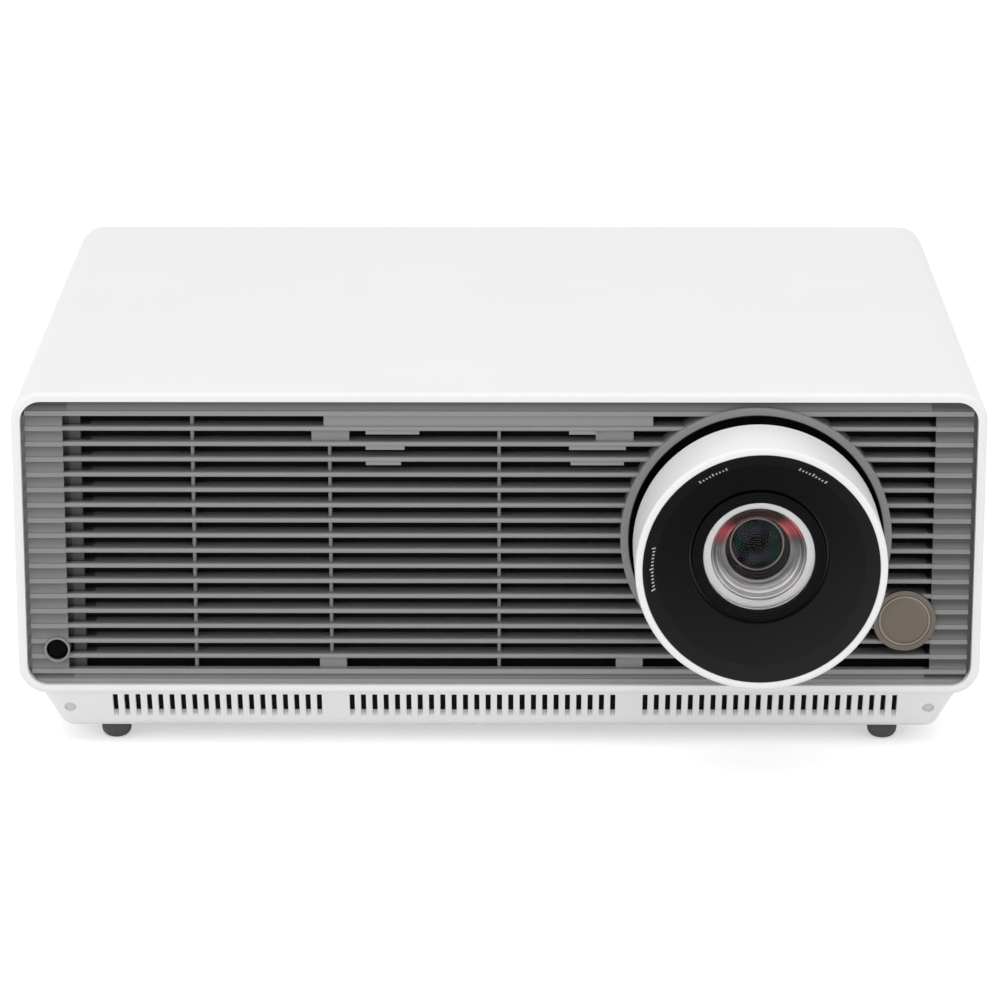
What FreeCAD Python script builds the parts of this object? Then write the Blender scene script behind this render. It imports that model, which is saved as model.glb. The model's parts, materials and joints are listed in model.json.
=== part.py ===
"""Home projector with a shifting zoom lens, built as an assembly of separate pieces.

Frame: +X to the viewer's right when facing the lens, -Y forwards (out of the lens), +Z up.
The origin is on the table, at the middle of the overall footprint.
Depths into the case are given as a setback from the plane of the front bezel.
All sizes are in millimetres.
"""

import FreeCAD
import Part

import math
import os

from FreeCAD import Vector

# ---- case ----
body_width = 370.0
body_depth = 290.0
overall_height = 143.5
foot_height = 7.0
base_height = 17.0
wall = 2.5
long_edge_radius = 11.0
rear_edge_radius = 10.0
front_edge_radius = 2.0
seam_trim = 0.5
base_slope = 25.0
base_corner_radius = 6.0
base_edge_radius = 4.5
shell_flange = 9.0
boss_wall = 1.6
boss_floor = 1.5
fit_gap = 0.3
slide_gap = 0.1
seat_gap = 0.05

# ---- front grille ----
bezel_width = 3.5
bezel_depth = 5.0
grille_corner_radius = 8.0
nose_setback = 2.0
grille_plate = 3.5
slat_pitch = 6.05
slat_thickness = 1.85
slat_depth = 10.0
slat_margin = 4.5
side_border = 15.8
groove_lip = 0.9
groove_depth = 1.9
edge_channel = 1.6
low_groove_height = 2.1
low_groove_depth = 2.6
rib_width = 1.2
rib_setback = 4.0
rib_places = (-116.7, -64.5, 0.0)
end_block_width = 6.4
end_block_setback = 5.5
closed_run = (-66.5, 58.4)
closed_setback = 1.2
clip_setback = 2.6
clip_width = 14.3
clip_places = (-64.1, 43.9)
lower_clip_width = 10.3
lower_clip_places = (-63.9, 50.2)
pad_setback = 0.6
pad_thickness = 1.3
# thickened louvres: row below the top one, left end, right end
pads = ((1, -50.6, -30.3), (2, -50.6, -35.9), (3, -50.6, -37.3),
        (1, 26.6, 37.0), (2, 26.6, 48.1), (3, 27.2, 47.4))
receiver_inset = 11.6
receiver_rise = -0.1
receiver_radius = 4.1
receiver_ring = 0.8
receiver_flange = 1.5
receiver_depth = 1.0
receiver_edge = 0.8
badge_gap = 2.4
badge_angle = -29.8
badge_radius = 12.1
badge_rim = 1.4
badge_thickness = 1.3
badge_hollow = 0.4

# ---- vents in the case ----
vent_pitch = 4.38
vent_width = 2.0
vent_top_margin = 1.6
vent_height = 8.2
vent_ramp = 2.4
vent_ramp_depth = 1.75
vent_left_inset = 35.7
vent_right_inset = 31.2
vent_group_gap = 10.6
vent_group_shares = (0.287, 0.364, 0.349)
dimple_inset = 19.0
dimple_drop = 7.8
dimple_radius = 2.3
dimple_depth = 0.8
side_vent_pitch = 5.2
side_vent_width = 2.4
side_vent_height = 58.0
side_vent_start = 66.0
side_vent_run = 156.0
filter_thickness = 1.5
filter_overlap = 4.0
floor_vent_count = 12
floor_vent_pitch = 7.3
floor_vent_length = 30.0
lock_slot_width = 7.0
lock_slot_height = 3.0
lock_slot_setback = 268.0
lock_slot_rise = 22.0

# ---- lens ----
lens_inset = 87.0
lens_rise = 2.5
hood_reach = 39.5
hood_clearance = 1.4
hood_rim = 2.8
hood_wall = 4.2
hood_gap = 6.0
hood_back = 2.0
hood_edge = 0.9
collar_margin = 4.8
collar_width = 3.1
collar_recess = 0.5
collar_depth = 13.5
dish_hole_radius = 26.4
dish_depth = 16.5
dish_recess = 0.5
dish_rim = 0.8
dish_lip = 1.2
dish_wall = 2.0
dish_flange = 3.0
dish_flare = 5.2
dish_flare_depth = 5.6
cell_radius = 25.4
cell_length = 19.0
cell_proud = 0.2
cell_bore = 21.1
glass_radius = 21.0
glass_edge = 3.0
glass_crown = 2.6
glass_recess = 1.2
glass_seat_width = 3.4
small_glass_radius = 10.4
small_glass_edge = 3.0
small_glass_crown = 1.0
cell_edge = 0.4
throat_radius = 8.7
throat_lip = 1.0
throat_flare = 5.0
rear_element_edge = 7.0
rear_element_places = (22.0, 12.0)
tube_wall = 2.8
tube_nose_gap = 1.0
tube_flange = 4.0
tube_length = 108.0
focus_travel = 1.5
zoom_travel = 8.0
zoom_cell_length = 12.0
zoom_cell_gap = 8.7
zoom_cell_bore = 14.0
zoom_cell_step = 3.0

# ---- focus and zoom drives ----
gear_module = 0.8
ring_teeth = 94
pinion_teeth = 12
gear_backlash = 0.16
pressure_angle = 20.0
tooth_addendum = 0.9
tooth_dedendum = 1.2
ring_width = 10.0
ring_body_radius = 34.0
focus_ring_setback = 20.0
zoom_ring_setback = 38.0
focus_motor_angle = 150.0
zoom_motor_angle = 30.0
focus_swing = 30.0
zoom_swing = 35.0
mesh_margin = 9.0
lens_motor_radius = 7.0
pinion_shaft_radius = 1.0
pinion_inset = 1.0
shaft_depth = 6.0

# ---- lens shift carriages ----
shift_up = 4.0
shift_across = 3.0
carriage_thickness = 8.0
carriage_gap = 3.0
vertical_carriage_setback = 56.0
vertical_plate_x = 38.0
vertical_plate_z = 33.0
cross_plate_x = 44.0
cross_plate_z = 47.0
rod_radius = 2.0
vertical_rod_offset = 34.0
cross_rod_offset = 40.0
lug = 6.0
screw_radius = 2.0
shift_motor_radius = 7.0
shift_motor_length = 22.0
screw_drop = 1.0
screw_shaft_radius = 1.0
shelf = 2.0
screw_reach = 16.0
rod_end_gap = 5.0

# ---- optical engine ----
engine_wall = 4.0
engine_side_gap = 33.0
engine_width = 116.0
engine_height = 92.0
engine_length = 55.0
engine_leg_radius = 5.0
prism_side = 28.0
prism_clearance = 2.0
tunnel_side = 6.0
dmd_window = 24.0
board_thickness = 1.6
dmd_board_width = 70.0
dmd_board_height = 64.0
heatsink_side = 48.0
heatsink_base = 4.0
heatsink_fin = 1.5
heatsink_fin_pitch = 6.0
heatsink_depth = 20.0
wheel_radius = 28.0
wheel_thickness = 1.0
wheel_margin = 3.0
wheel_shaft_radius = 1.5
wheel_shaft = 8.0
wheel_hub = 3.5
leg = 6.0
wheel_case_width = 34.0
wheel_case_wall = 2.0
wheel_motor_radius = 9.0
laser_block = 40.0
pipe_radius = 3.0
pipe_spread = 20.0
pipe_end = 2.0
fin_thickness = 1.0
fin_pitch = 4.8
fin_stack_inset = 19.0
fin_gap = 35.8
fin_height = 100.0
fin_drop = 62.0
fin_depth = 46.0

# ---- fans ----
fan_size = 92.0
fan_thickness = 25.0
fan_setback = 25.0
fan_bore = 44.0
fan_corner = 5.0
fan_strut = 3.0
fan_hole_offset = 41.25
fan_hole_radius = 2.2
fan_shaft_radius = 1.5
fan_hub_radius = 17.0
fan_blades = 7
fan_blade_pitch = 34.0
fan_blade_thickness = 1.6
fan_face_gap = 1.5
fan_tip_gap = 1.2
fan_above_base = 24.0

# ---- boards and sockets ----
supply_inset = 37.0
supply_width = 84.0
supply_length = 92.0
supply_setback = 164.0
supply_standoff = 12.0
standoff_radius = 3.0
# transformer, cooler, filter coil and terminal block: left, front, width, length, height
supply_blocks = ((10, 30, 34, 32, 30), (50, 8, 4, 52, 36), (8, 68, 26, 16, 20), (48, 68, 28, 12, 10))
# capacitors: left, front, radius, height
supply_cans = ((20, 16, 9, 34), (40, 16, 9, 34), (70, 22, 6, 22), (70, 40, 6, 22))
standoff_inset = 6.0
main_inset = 30.0
main_width = 165.0
main_height = 100.0
main_setback = 258.0
main_above_base = 16.5
# processor cooler, two memory chips, one more chip and two connectors: left, up, width, height, depth
main_blocks = ((52, 48, 40, 40, 14), (14, 50, 16, 16, 2.5), (14, 72, 16, 16, 2.5),
               (106, 60, 18, 18, 3), (36, 8, 40, 5, 8), (100, 8, 30, 5, 8))
panel_thickness = 2.0
panel_overlap = 4.0
panel_border = 14.0
panel_seam_drop = 1.5
inlet_plate_reach = 32.0
socket_plate_reach = 12.0
panel_corner_radius = 5.0
socket_row = 28.0
socket_proud = 0.5
socket_wall = 0.8
tongue_margin = 1.5
tongue_thickness = 1.2
hdmi_insets = (47.0, 69.0)
hdmi_mouth = (14.0, 4.8)
usb_insets = (91.0, 109.0)
usb_mouth = (12.5, 5.2)
network_insets = (133.0, 155.0)
network_mouth = (11.8, 8.2)
jack_insets = (175.0, 187.0)
jack_radius = 1.8
jack_body = 4.0
inlet_inset = 45.0
inlet_mouth = (24.2, 16.8)
inlet_wall = 1.6
inlet_depth = 17.0
inlet_length = 24.0
inlet_corner = 3.0
inlet_flange = 4.0
pin_across = 7.0
pin_drop = 1.5
pin_rise = 2.5
pin_half_width = 1.0
pin_half_height = 2.0
pin_recess = 6.0
socket_depth = 12.0
exhaust_inset = 21.0
exhaust_run = 140.0
exhaust_pitch = 6.0
exhaust_slot = 3.6
exhaust_margin = 10.0
exhaust_ribs = 3
exhaust_rib_width = 2.0

# ---- joystick ----
stick_inset = 65.0
stick_above_split = 80.0
stick_cap_radius = 6.0
stick_hole_radius = 8.0
stick_pivot_setback = 280.0
stick_ball_radius = 3.0
stick_radius = 1.4
stick_length = 6.5
stick_press = 0.6
cap_rise = 4.2
cap_recess = 0.4
cap_edge = 1.6
gimbal_wall = 1.4
gimbal_half_depth = 1.1
trunnion_radius = 0.6
cup_rise = 0.5
key_post_radius = 2.5
key_post_inset = 4.0
key_board_setback = 276.0
key_board_size = 36.0

# ---- feet, inserts and screws ----
foot_inset = 35.5
foot_setback = 20.0
foot_radius = 5.8
foot_edge_radius = 3.0
foot_travel = 8.0
stem_radius = 3.0
stem_spare = 2.5
stem_socket = 4.0
nut_radius = 4.8
nut_length = 9.0
rear_foot_setback = 262.0
stand_width = 7.0
mount_spacing_x = 250.0
mount_spacing_y = 160.0
mount_middle_ahead = 6.0
insert_bore = 2.5
insert_radius = 4.0
insert_length = 12.0
post_inset = 23.6
post_setbacks = (17.0, 140.0, 268.0)
post_radius = 4.0
pilot_radius = 1.25
screw_head_radius = 3.0
screw_head = 2.2
screw_shank_radius = 1.2
screw_length = 14.0
screw_seat = 0.5
screw_socket_radius = 1.1
screw_socket = 1.4
post_foot = 3.0

# ---- worked out from the sizes above ----
front_y = hood_reach - (body_depth + hood_reach) / 2
half_width = body_width / 2
split_z = foot_height + base_height
top_z = overall_height
shell_low_z = split_z - seam_trim
floor_z = foot_height + wall

grille_mid_z = (shell_low_z + top_z) / 2
grille_height = top_z - shell_low_z - 2 * bezel_width
grille_width = body_width - 2 * bezel_width
slat_gap = slat_pitch - slat_thickness
slot_count = int((grille_height - 2 * slat_margin - slat_gap) / slat_pitch) + 1
slot_half_run = grille_width / 2 - side_border

lens_x = half_width - lens_inset
lens_z = grille_mid_z + lens_rise
collar_bore = grille_height / 2 - collar_margin - collar_width
hood_radius = collar_bore - hood_clearance
dish_flare_radius = hood_radius - hood_rim - dish_flare
tube_flange_radius = collar_bore - math.hypot(shift_up, shift_across) - 2 * fit_gap
tube_outer = cell_radius + fit_gap + tube_wall
tube_front = -hood_reach + dish_depth + dish_wall + tube_nose_gap
cell_front = -hood_reach + dish_depth - cell_proud
zoom_cell_setback = cell_front + cell_length + focus_travel + zoom_travel + zoom_cell_gap
gear_distance = gear_module * (ring_teeth + pinion_teeth) / 2
cross_carriage_setback = vertical_carriage_setback + carriage_thickness + carriage_gap

engine_setback = cross_carriage_setback + carriage_thickness + carriage_gap
engine_right = half_width - engine_side_gap
engine_left = engine_right - engine_width
engine_low_z = lens_z - engine_height / 2
prism_setback = tube_front + tube_length + prism_clearance
fin_stack_left = fin_stack_inset - half_width
fin_count = int((engine_left - wheel_case_width - laser_block - fin_gap - fin_stack_left) / fin_pitch) + 1
fan_bay_left = wall - half_width
fan_bay_right = lens_x - cross_plate_x - 2 * lug - shift_across
fan_gap = (fan_bay_right - fan_bay_left - 2 * fan_size) / 3
fan_places = (fan_bay_left + fan_gap + fan_size / 2, fan_bay_right - fan_gap - fan_size / 2)

supply_left = supply_inset - half_width
main_left = half_width - main_inset - main_width
panel_setback = body_depth - wall - panel_thickness
socket_z = split_z + socket_row
hdmi_places = [half_width - inset for inset in hdmi_insets]
usb_places = [half_width - inset for inset in usb_insets]
network_places = [half_width - inset for inset in network_insets]
jack_places = [half_width - inset for inset in jack_insets]
inlet_x = inlet_inset - half_width
exhaust_left = exhaust_inset - half_width
exhaust_right = exhaust_left + exhaust_run
stick_x = half_width - stick_inset
stick_z = split_z + stick_above_split

foot_x = half_width - foot_inset
post_x = half_width - post_inset
stem_length = stem_socket + wall + nut_length + foot_travel + stem_spare


# ---- shape helpers ----
def at(x, setback, z):
    """A point given by its setback behind the front bezel."""
    return Vector(x, front_y + setback, z)


def block(x0, x1, s0, s1, z0, z1):
    """A box between two x, two setbacks and two z."""
    return Part.makeBox(x1 - x0, s1 - s0, z1 - z0, at(x0, s0, z0))


def rod(radius, start, end):
    """A round bar between two points."""
    along = end - start
    return Part.makeCylinder(radius, along.Length, start, along)


def ring(outer, inner, start, end):
    """A tube between two points."""
    return rod(outer, start, end).cut(rod(inner, start, end))


def polygon(points):
    """A face from a closed run of points."""
    return Part.Face(Part.makePolygon(list(points) + [points[0]]))


def rounded_wire(x0, x1, v0, v1, radius, place):
    """A rounded rectangle; place turns its two flat coordinates into a point."""
    turn = radius * (1 - math.sqrt(0.5))
    corners = (
        ((x1 - radius, v0), (x1 - turn, v0 + turn), (x1, v0 + radius)),
        ((x1, v1 - radius), (x1 - turn, v1 - turn), (x1 - radius, v1)),
        ((x0 + radius, v1), (x0 + turn, v1 - turn), (x0, v1 - radius)),
        ((x0, v0 + radius), (x0 + turn, v0 + turn), (x0 + radius, v0)),
    )
    edges = []
    for index, corner in enumerate(corners):
        start, middle, end = (place(*point) for point in corner)
        following = place(*corners[(index + 1) % 4][0])
        edges.append(Part.Arc(start, middle, end).toShape())
        edges.append(Part.LineSegment(end, following).toShape())
    return Part.Wire(edges)


def rounded_plate(x0, x1, z0, z1, radius, s0, s1):
    """A rounded rectangle facing forwards, s0 to s1 deep."""
    wire = rounded_wire(x0, x1, z0, z1, radius, lambda x, z: at(x, s0, z))
    return Part.Face(wire).extrude(Vector(0, s1 - s0, 0))


def turned(profile, x=None, z=None):
    """A solid turned about a line along Y from (setback, radius) points."""
    x = lens_x if x is None else x
    z = lens_z if z is None else z
    face = polygon([at(x + radius, setback, z) for setback, radius in profile])
    return face.revolve(at(x, 0, z), Vector(0, 1, 0), 360)


def edges_at_setback(shape, setback):
    """The edges that lie in one plane parallel to the front."""
    y = front_y + setback
    return [
        edge for edge in shape.Edges
        if abs(edge.BoundBox.YMin - y) < 1e-4 and abs(edge.BoundBox.YMax - y) < 1e-4
    ]


def edges_at_height(shape, z):
    """The edges that lie in one level plane."""
    return [
        edge for edge in shape.Edges
        if abs(edge.BoundBox.ZMin - z) < 1e-4 and abs(edge.BoundBox.ZMax - z) < 1e-4
    ]


def joined(shapes):
    """One solid from touching shapes."""
    return shapes[0].fuse(list(shapes[1:])).removeSplitter()


def barrel(radius, s0, s1):
    """A round bar on the lens axis."""
    return rod(radius, at(lens_x, s0, lens_z), at(lens_x, s1, lens_z))


def sleeve_ring(outer, inner, s0, s1):
    """A tube on the lens axis."""
    return barrel(outer, s0, s1).cut(barrel(inner, s0, s1))


def lens_point(angle, radius, setback):
    """A point at an angle and radius about the lens axis; 0 degrees is +X, 90 is up."""
    turn = math.radians(angle)
    return at(lens_x + radius * math.cos(turn), setback, lens_z + radius * math.sin(turn))


# ---- case ----
def sleeve(inset, rear_radius, front_setback, rear_setback):
    """The case's outer form, or its cavity when it is set in by a wall."""
    form = rounded_plate(
        -half_width + inset, half_width - inset, shell_low_z + inset, top_z - inset,
        long_edge_radius - inset, front_setback, rear_setback,
    )
    return form.makeFillet(rear_radius, edges_at_setback(form, rear_setback))


def post_places():
    """Where the shell's screw posts stand."""
    return [(side * post_x, setback) for setback in post_setbacks for side in (-1, 1)]


def upper_shell():
    """White outer case: top, sides, front bezel and rear frame in one moulding."""
    outer = sleeve(0.0, rear_edge_radius, 0.0, body_depth)
    outer = outer.makeFillet(front_edge_radius, edges_at_setback(outer, 0.0))
    cavity = sleeve(wall, rear_edge_radius - wall, bezel_depth, body_depth - wall)
    window = rounded_plate(
        -grille_width / 2, grille_width / 2, grille_mid_z - grille_height / 2,
        grille_mid_z + grille_height / 2, grille_corner_radius, -1.0, bezel_depth + 1.0,
    )
    rear_window = rounded_plate(
        -half_width + panel_border, half_width - panel_border, shell_low_z + panel_border,
        top_z - panel_border, panel_corner_radius, body_depth - 2 * wall, body_depth + 1.0,
    )
    inset = seam_inset(long_edge_radius) + shell_flange
    bottom = block(-half_width + inset, half_width - inset, bezel_depth + wall,
                   body_depth - inset, shell_low_z - 1.0, split_z + 2 * wall)
    trim = block(-half_width, half_width, -1.0, body_depth + 1.0, shell_low_z - 1.0, split_z)
    shell = outer.cut([cavity, window, rear_window, bottom, trim, lock_slot()] + side_vents())
    posts = []
    for x, setback in post_places():
        foot = at(x, setback, floor_z + post_foot)
        posts.append(rod(post_radius, foot, at(x, setback, top_z - wall / 2)))
    shell = shell.fuse(posts)
    pilots = [
        rod(pilot_radius, at(x, s, floor_z), at(x, s, floor_z + post_foot + screw_length))
        for x, s in post_places()
    ]
    return shell.cut(pilots)


def seam_inset(radius):
    """How far in a rounded lower edge has curved where the seam trims it."""
    return radius - math.sqrt(radius ** 2 - (radius - seam_trim) ** 2)


def side_vents():
    """Upright vent slots through both side walls."""
    slots = []
    count = int(side_vent_run / side_vent_pitch)
    low = grille_mid_z - side_vent_height / 2
    for index in range(count):
        s = side_vent_start + index * side_vent_pitch
        for x0 in (-half_width - 1, half_width - wall - 1):
            slots.append(block(x0, x0 + wall + 2, s, s + side_vent_width, low, low + side_vent_height))
    return slots


def lock_slot():
    """Security lock slot in the right side wall."""
    z = split_z + lock_slot_rise
    return block(half_width - wall - 1, half_width + 1, lock_slot_setback,
                 lock_slot_setback + lock_slot_width, z, z + lock_slot_height)


def base_form(inset, low_z, high_z):
    """The tray's sloping form between two heights, set in by a wall."""
    slope = math.tan(math.radians(base_slope))
    side = seam_inset(long_edge_radius) + inset
    front = front_edge_radius + inset
    rear = seam_inset(rear_edge_radius) + inset
    wires = []
    for z in (high_z, low_z):
        run = (split_z - z) * slope
        wires.append(rounded_wire(
            -half_width + side + run, half_width - side - run, front + run,
            body_depth - rear - run, base_corner_radius, lambda x, s, z=z: at(x, s, z),
        ))
    return Part.makeLoft(wires, True, True)


def base_tray():
    """White lower case with its sloping vented front, bosses and supports."""
    outer = base_form(0.0, foot_height, split_z)
    outer = outer.makeFillet(base_edge_radius, edges_at_height(outer, foot_height))
    slant = wall / math.cos(math.radians(base_slope))
    cavity = base_form(slant, floor_z, split_z)
    cavity = cavity.makeFillet(base_edge_radius - wall, edges_at_height(cavity, floor_z))
    tray = outer.cut([cavity] + front_vents() + dimples() + floor_vents())
    tray = tray.fuse(tray_bosses() + tray_supports())
    return tray.cut(tray_holes()).removeSplitter()


def front_vents():
    """Upright slots through the sloping front, each with a ramp at its foot."""
    slope = math.tan(math.radians(base_slope))
    top = split_z - vent_top_margin
    low = top - vent_height
    toe = low - vent_ramp
    toe_setback = front_edge_radius + (split_z - toe) * slope
    deep = toe_setback + 2 * wall
    profile = [(-1.0, top), (deep, top), (deep, low), (toe_setback + vent_ramp_depth, low),
               (toe_setback, toe), (-1.0, toe)]
    slots = []
    run = body_width - vent_left_inset - vent_right_inset - 2 * vent_group_gap
    left = vent_left_inset - half_width
    for share in vent_group_shares:
        for index in range(round((share * run - vent_width) / vent_pitch) + 1):
            x = left + index * vent_pitch
            face = polygon([at(x, s, z) for s, z in profile])
            slots.append(face.extrude(Vector(vent_width, 0, 0)))
        left += share * run + vent_group_gap
    return slots


def dimples():
    """Two shallow round marks near the ends of the sloping front."""
    slope = math.radians(base_slope)
    z = split_z - dimple_drop
    setback = front_edge_radius + dimple_drop * math.tan(slope)
    inward = Vector(0, math.cos(slope), math.sin(slope))
    marks = []
    for x in (dimple_inset - half_width, half_width - dimple_inset):
        start = at(x, setback, z) - inward * dimple_depth
        marks.append(Part.makeCylinder(dimple_radius, 2 * dimple_depth, start, inward))
    return marks


def floor_vents():
    """Intake slots in the tray's floor, under the optical engine."""
    slots = []
    first = (engine_left + engine_right - (floor_vent_count - 1) * floor_vent_pitch - side_vent_width) / 2
    middle = engine_setback + engine_length / 2
    for index in range(floor_vent_count):
        x = first + index * floor_vent_pitch
        slots.append(block(x, x + side_vent_width, middle - floor_vent_length / 2,
                           middle + floor_vent_length / 2, foot_height - 1, floor_z + 1))
    return slots


def mount_places():
    """The four ceiling-mount positions."""
    middle = body_depth / 2 - mount_middle_ahead
    return [
        (x, middle + y)
        for x in (-mount_spacing_x / 2, mount_spacing_x / 2)
        for y in (-mount_spacing_y / 2, mount_spacing_y / 2)
    ]


def foot_places():
    """The two screw feet at the front."""
    return [(-foot_x, foot_setback), (foot_x, foot_setback)]


def tray_bosses():
    """Round bosses for the mount inserts, foot nuts and case screws."""
    start = foot_height + wall / 2
    bosses = []
    for x, s in mount_places():
        bosses.append(rod(insert_radius + boss_wall, at(x, s, start),
                          at(x, s, foot_height + insert_length + boss_floor)))
    for x, s in foot_places():
        bosses.append(rod(nut_radius + boss_wall, at(x, s, start), at(x, s, floor_z + nut_length)))
    for x, s in post_places():
        bosses.append(rod(screw_head_radius + boss_wall, at(x, s, start), at(x, s, floor_z + post_foot)))
    for x, s in supply_corners():
        bosses.append(rod(standoff_radius, at(x, s, start), at(x, s, floor_z + supply_standoff)))
    return bosses


def tray_holes():
    """Everything drilled into the tray after its bosses are on."""
    holes = []
    for x, s in mount_places():
        holes.append(rod(insert_radius + seat_gap, at(x, s, foot_height - 1),
                         at(x, s, foot_height + insert_length)))
    for x, s in foot_places():
        holes.append(rod(nut_radius + seat_gap, at(x, s, floor_z), at(x, s, floor_z + nut_length + 1)))
        holes.append(rod(stem_radius + slide_gap, at(x, s, foot_height - 1), at(x, s, floor_z + 1)))
    for x, s in post_places():
        seat = floor_z + screw_seat
        holes.append(rod(screw_head_radius + fit_gap, at(x, s, foot_height - 1), at(x, s, seat)))
        holes.append(rod(screw_shank_radius + fit_gap, at(x, s, floor_z), at(x, s, seat + post_foot)))
    return holes


def tray_supports():
    """Ribs that carry the fans, the fin stack, the main board and the shift motor."""
    low = floor_z - wall / 2
    half = stand_width / 2
    ribs = []
    for x in fan_places:
        for side in (-1, 1):
            middle = x + side * (fan_size / 2 - stand_width)
            ribs.append(block(middle - half, middle + half, fan_setback, fan_setback + fan_thickness,
                              low, floor_z + fan_above_base))
    stack_right = fin_stack_left + (fin_count - 1) * fin_pitch + fin_thickness
    for s in (fin_setback() + stand_width, fin_setback() + fin_depth - stand_width - wall):
        ribs.append(block(fin_stack_left, stack_right, s, s + wall, low, fin_low_z()))
    for x in (main_left + 2 * stand_width, main_left + main_width - 2 * stand_width):
        ribs.append(block(x - half, x + half, main_setback - half, main_setback + board_thickness + half,
                          low, floor_z + main_above_base))
    x = cross_motor_x() + shift_motor_length / 2
    s = cross_screw_setback()
    ribs.append(block(x - half, x + half, s - stand_width, s + stand_width,
                      low, cross_screw_z() - shift_motor_radius))
    return ribs


# ---- front ----
def slot_middles():
    """Heights of the louvre slots, evenly about the grille's middle."""
    first = grille_mid_z - (slot_count - 1) * slat_pitch / 2
    return [first + index * slat_pitch for index in range(slot_count)]


def slat(z, half_run):
    """One louvre blade with a round nose."""
    half = slat_thickness / 2
    back = nose_setback + slat_depth
    nose = Part.Arc(at(-half_run, nose_setback + half, z - half), at(-half_run, nose_setback, z),
                    at(-half_run, nose_setback + half, z + half)).toShape()
    rest = Part.makePolygon([
        at(-half_run, nose_setback + half, z + half), at(-half_run, back, z + half * 0.6),
        at(-half_run, back, z - half * 0.6), at(-half_run, nose_setback + half, z - half),
    ])
    return Part.Face(Part.Wire([nose] + rest.Edges)).extrude(Vector(2 * half_run, 0, 0))


def border_groove(x0, x1, low, high, depth):
    """A shallow wedge that carries the louvre line across the solid border."""
    face = polygon([at(x0, -1.0, low), at(x0, nose_setback + groove_lip, low),
                    at(x0, nose_setback + depth, high), at(x0, -1.0, high)])
    return face.extrude(Vector(x1 - x0, 0, 0))


def border_grooves():
    """The wedges round the louvres, and the channel at each side edge."""
    edge = grille_width / 2
    inner = slot_half_run - seam_trim
    grooves = []
    for z in slot_middles():
        for x0, x1 in ((-edge - 1, -inner), (inner, edge + 1)):
            grooves.append(border_groove(x0, x1, z - slat_gap / 2, z + slat_gap / 2, groove_depth))
    top = slot_middles()[-1] + slat_gap / 2 + slat_thickness
    grooves.append(border_groove(-edge - 1, edge + 1, top, top_z, groove_depth))
    low = slot_middles()[0] - slat_gap / 2 - slat_thickness
    grooves.append(border_groove(-edge - 1, edge + 1, low - low_groove_height, low, low_groove_depth))
    for x0, x1 in ((-edge - 1, -edge + edge_channel), (edge - edge_channel, edge + 1)):
        grooves.append(block(x0, x1, -1.0, nose_setback + groove_depth, low, top))
    return grooves


def grille_blank():
    """The grille's plate with the grooves in its border and the flange behind the bezel."""
    half_w = grille_width / 2 - slide_gap
    half_h = grille_height / 2 - slide_gap
    back = nose_setback + grille_plate
    plate = rounded_plate(-half_w, half_w, grille_mid_z - half_h, grille_mid_z + half_h,
                          grille_corner_radius - slide_gap, nose_setback, back)
    flange = rounded_plate(
        -half_width + wall + slide_gap, half_width - wall - slide_gap, shell_low_z + wall + slide_gap,
        top_z - wall - slide_gap, long_edge_radius - wall - slide_gap, bezel_depth, back + wall,
    )
    hollow = block(-slot_half_run - 1, slot_half_run + 1, back, back + 2 * wall,
                   slot_middles()[0] - slat_pitch, slot_middles()[-1] + slat_pitch)
    window = block(-slot_half_run, slot_half_run, -1.0, back + 2 * wall,
                   slot_middles()[0] - slat_gap / 2, slot_middles()[-1] + slat_gap / 2)
    return plate.fuse(flange).cut([hollow, window] + border_grooves())


def grille_fittings():
    """Ribs, clip blocks, closed run and thickened pads that tie the slats together."""
    low, high = slot_middles()[0], slot_middles()[-1]
    back = nose_setback + slat_depth
    fittings = [
        block(closed_run[0], closed_run[1], nose_setback + closed_setback, back,
              high - slat_pitch / 2, high + slat_pitch / 2),
        block(-slot_half_run - seam_trim, -slot_half_run + end_block_width,
              nose_setback + end_block_setback, back, low - slat_gap, high + slat_gap),
    ]
    for x in rib_places:
        fittings.append(block(x - rib_width / 2, x + rib_width / 2, nose_setback + rib_setback, back,
                              low - slat_gap, high + slat_gap))
    front = nose_setback + clip_setback
    z = high - slat_pitch
    for x in clip_places:
        half = clip_width / 2
        fittings.append(block(x - half, x + half, front, back, z - slat_pitch / 2, z + slat_pitch / 2))
    for x in lower_clip_places:
        half = lower_clip_width / 2
        fittings.append(block(x - half, x + half, front, back, low - slat_gap, low + slat_pitch / 2))
    for row, left, right in pads:
        z = high - row * slat_pitch + slat_gap / 2
        fittings.append(block(left, right, nose_setback + pad_setback, back,
                              z - pad_thickness, z + slat_thickness / 2))
    return fittings


def receiver_place():
    """Centre of the remote-control receiver, low in the left border."""
    return -grille_width / 2 + receiver_inset, slot_middles()[1] + receiver_rise


def front_grille():
    """Dark grey louvred front with the collar round the lens."""
    blades = [slat(z + slat_pitch / 2, slot_half_run + seam_trim) for z in slot_middles()[:-1]]
    grille = grille_blank().fuse(blades + grille_fittings())
    deep = collar_recess + collar_depth
    grille = grille.cut(barrel(collar_bore + collar_width / 2, -1.0, deep))
    collar = sleeve_ring(collar_bore + collar_width, collar_bore, collar_recess, deep)
    x, z = receiver_place()
    back = nose_setback + grille_plate
    boss = rod(receiver_radius + receiver_ring, at(x, collar_recess + fit_gap, z), at(x, back, z))
    bores = [rod(receiver_radius + slide_gap, at(x, -1, z), at(x, 2 * back, z)),
             rod(receiver_radius + receiver_flange + fit_gap, at(x, back, z), at(x, 2 * back, z))]
    return grille.fuse([collar, boss]).cut(bores).removeSplitter()


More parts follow.
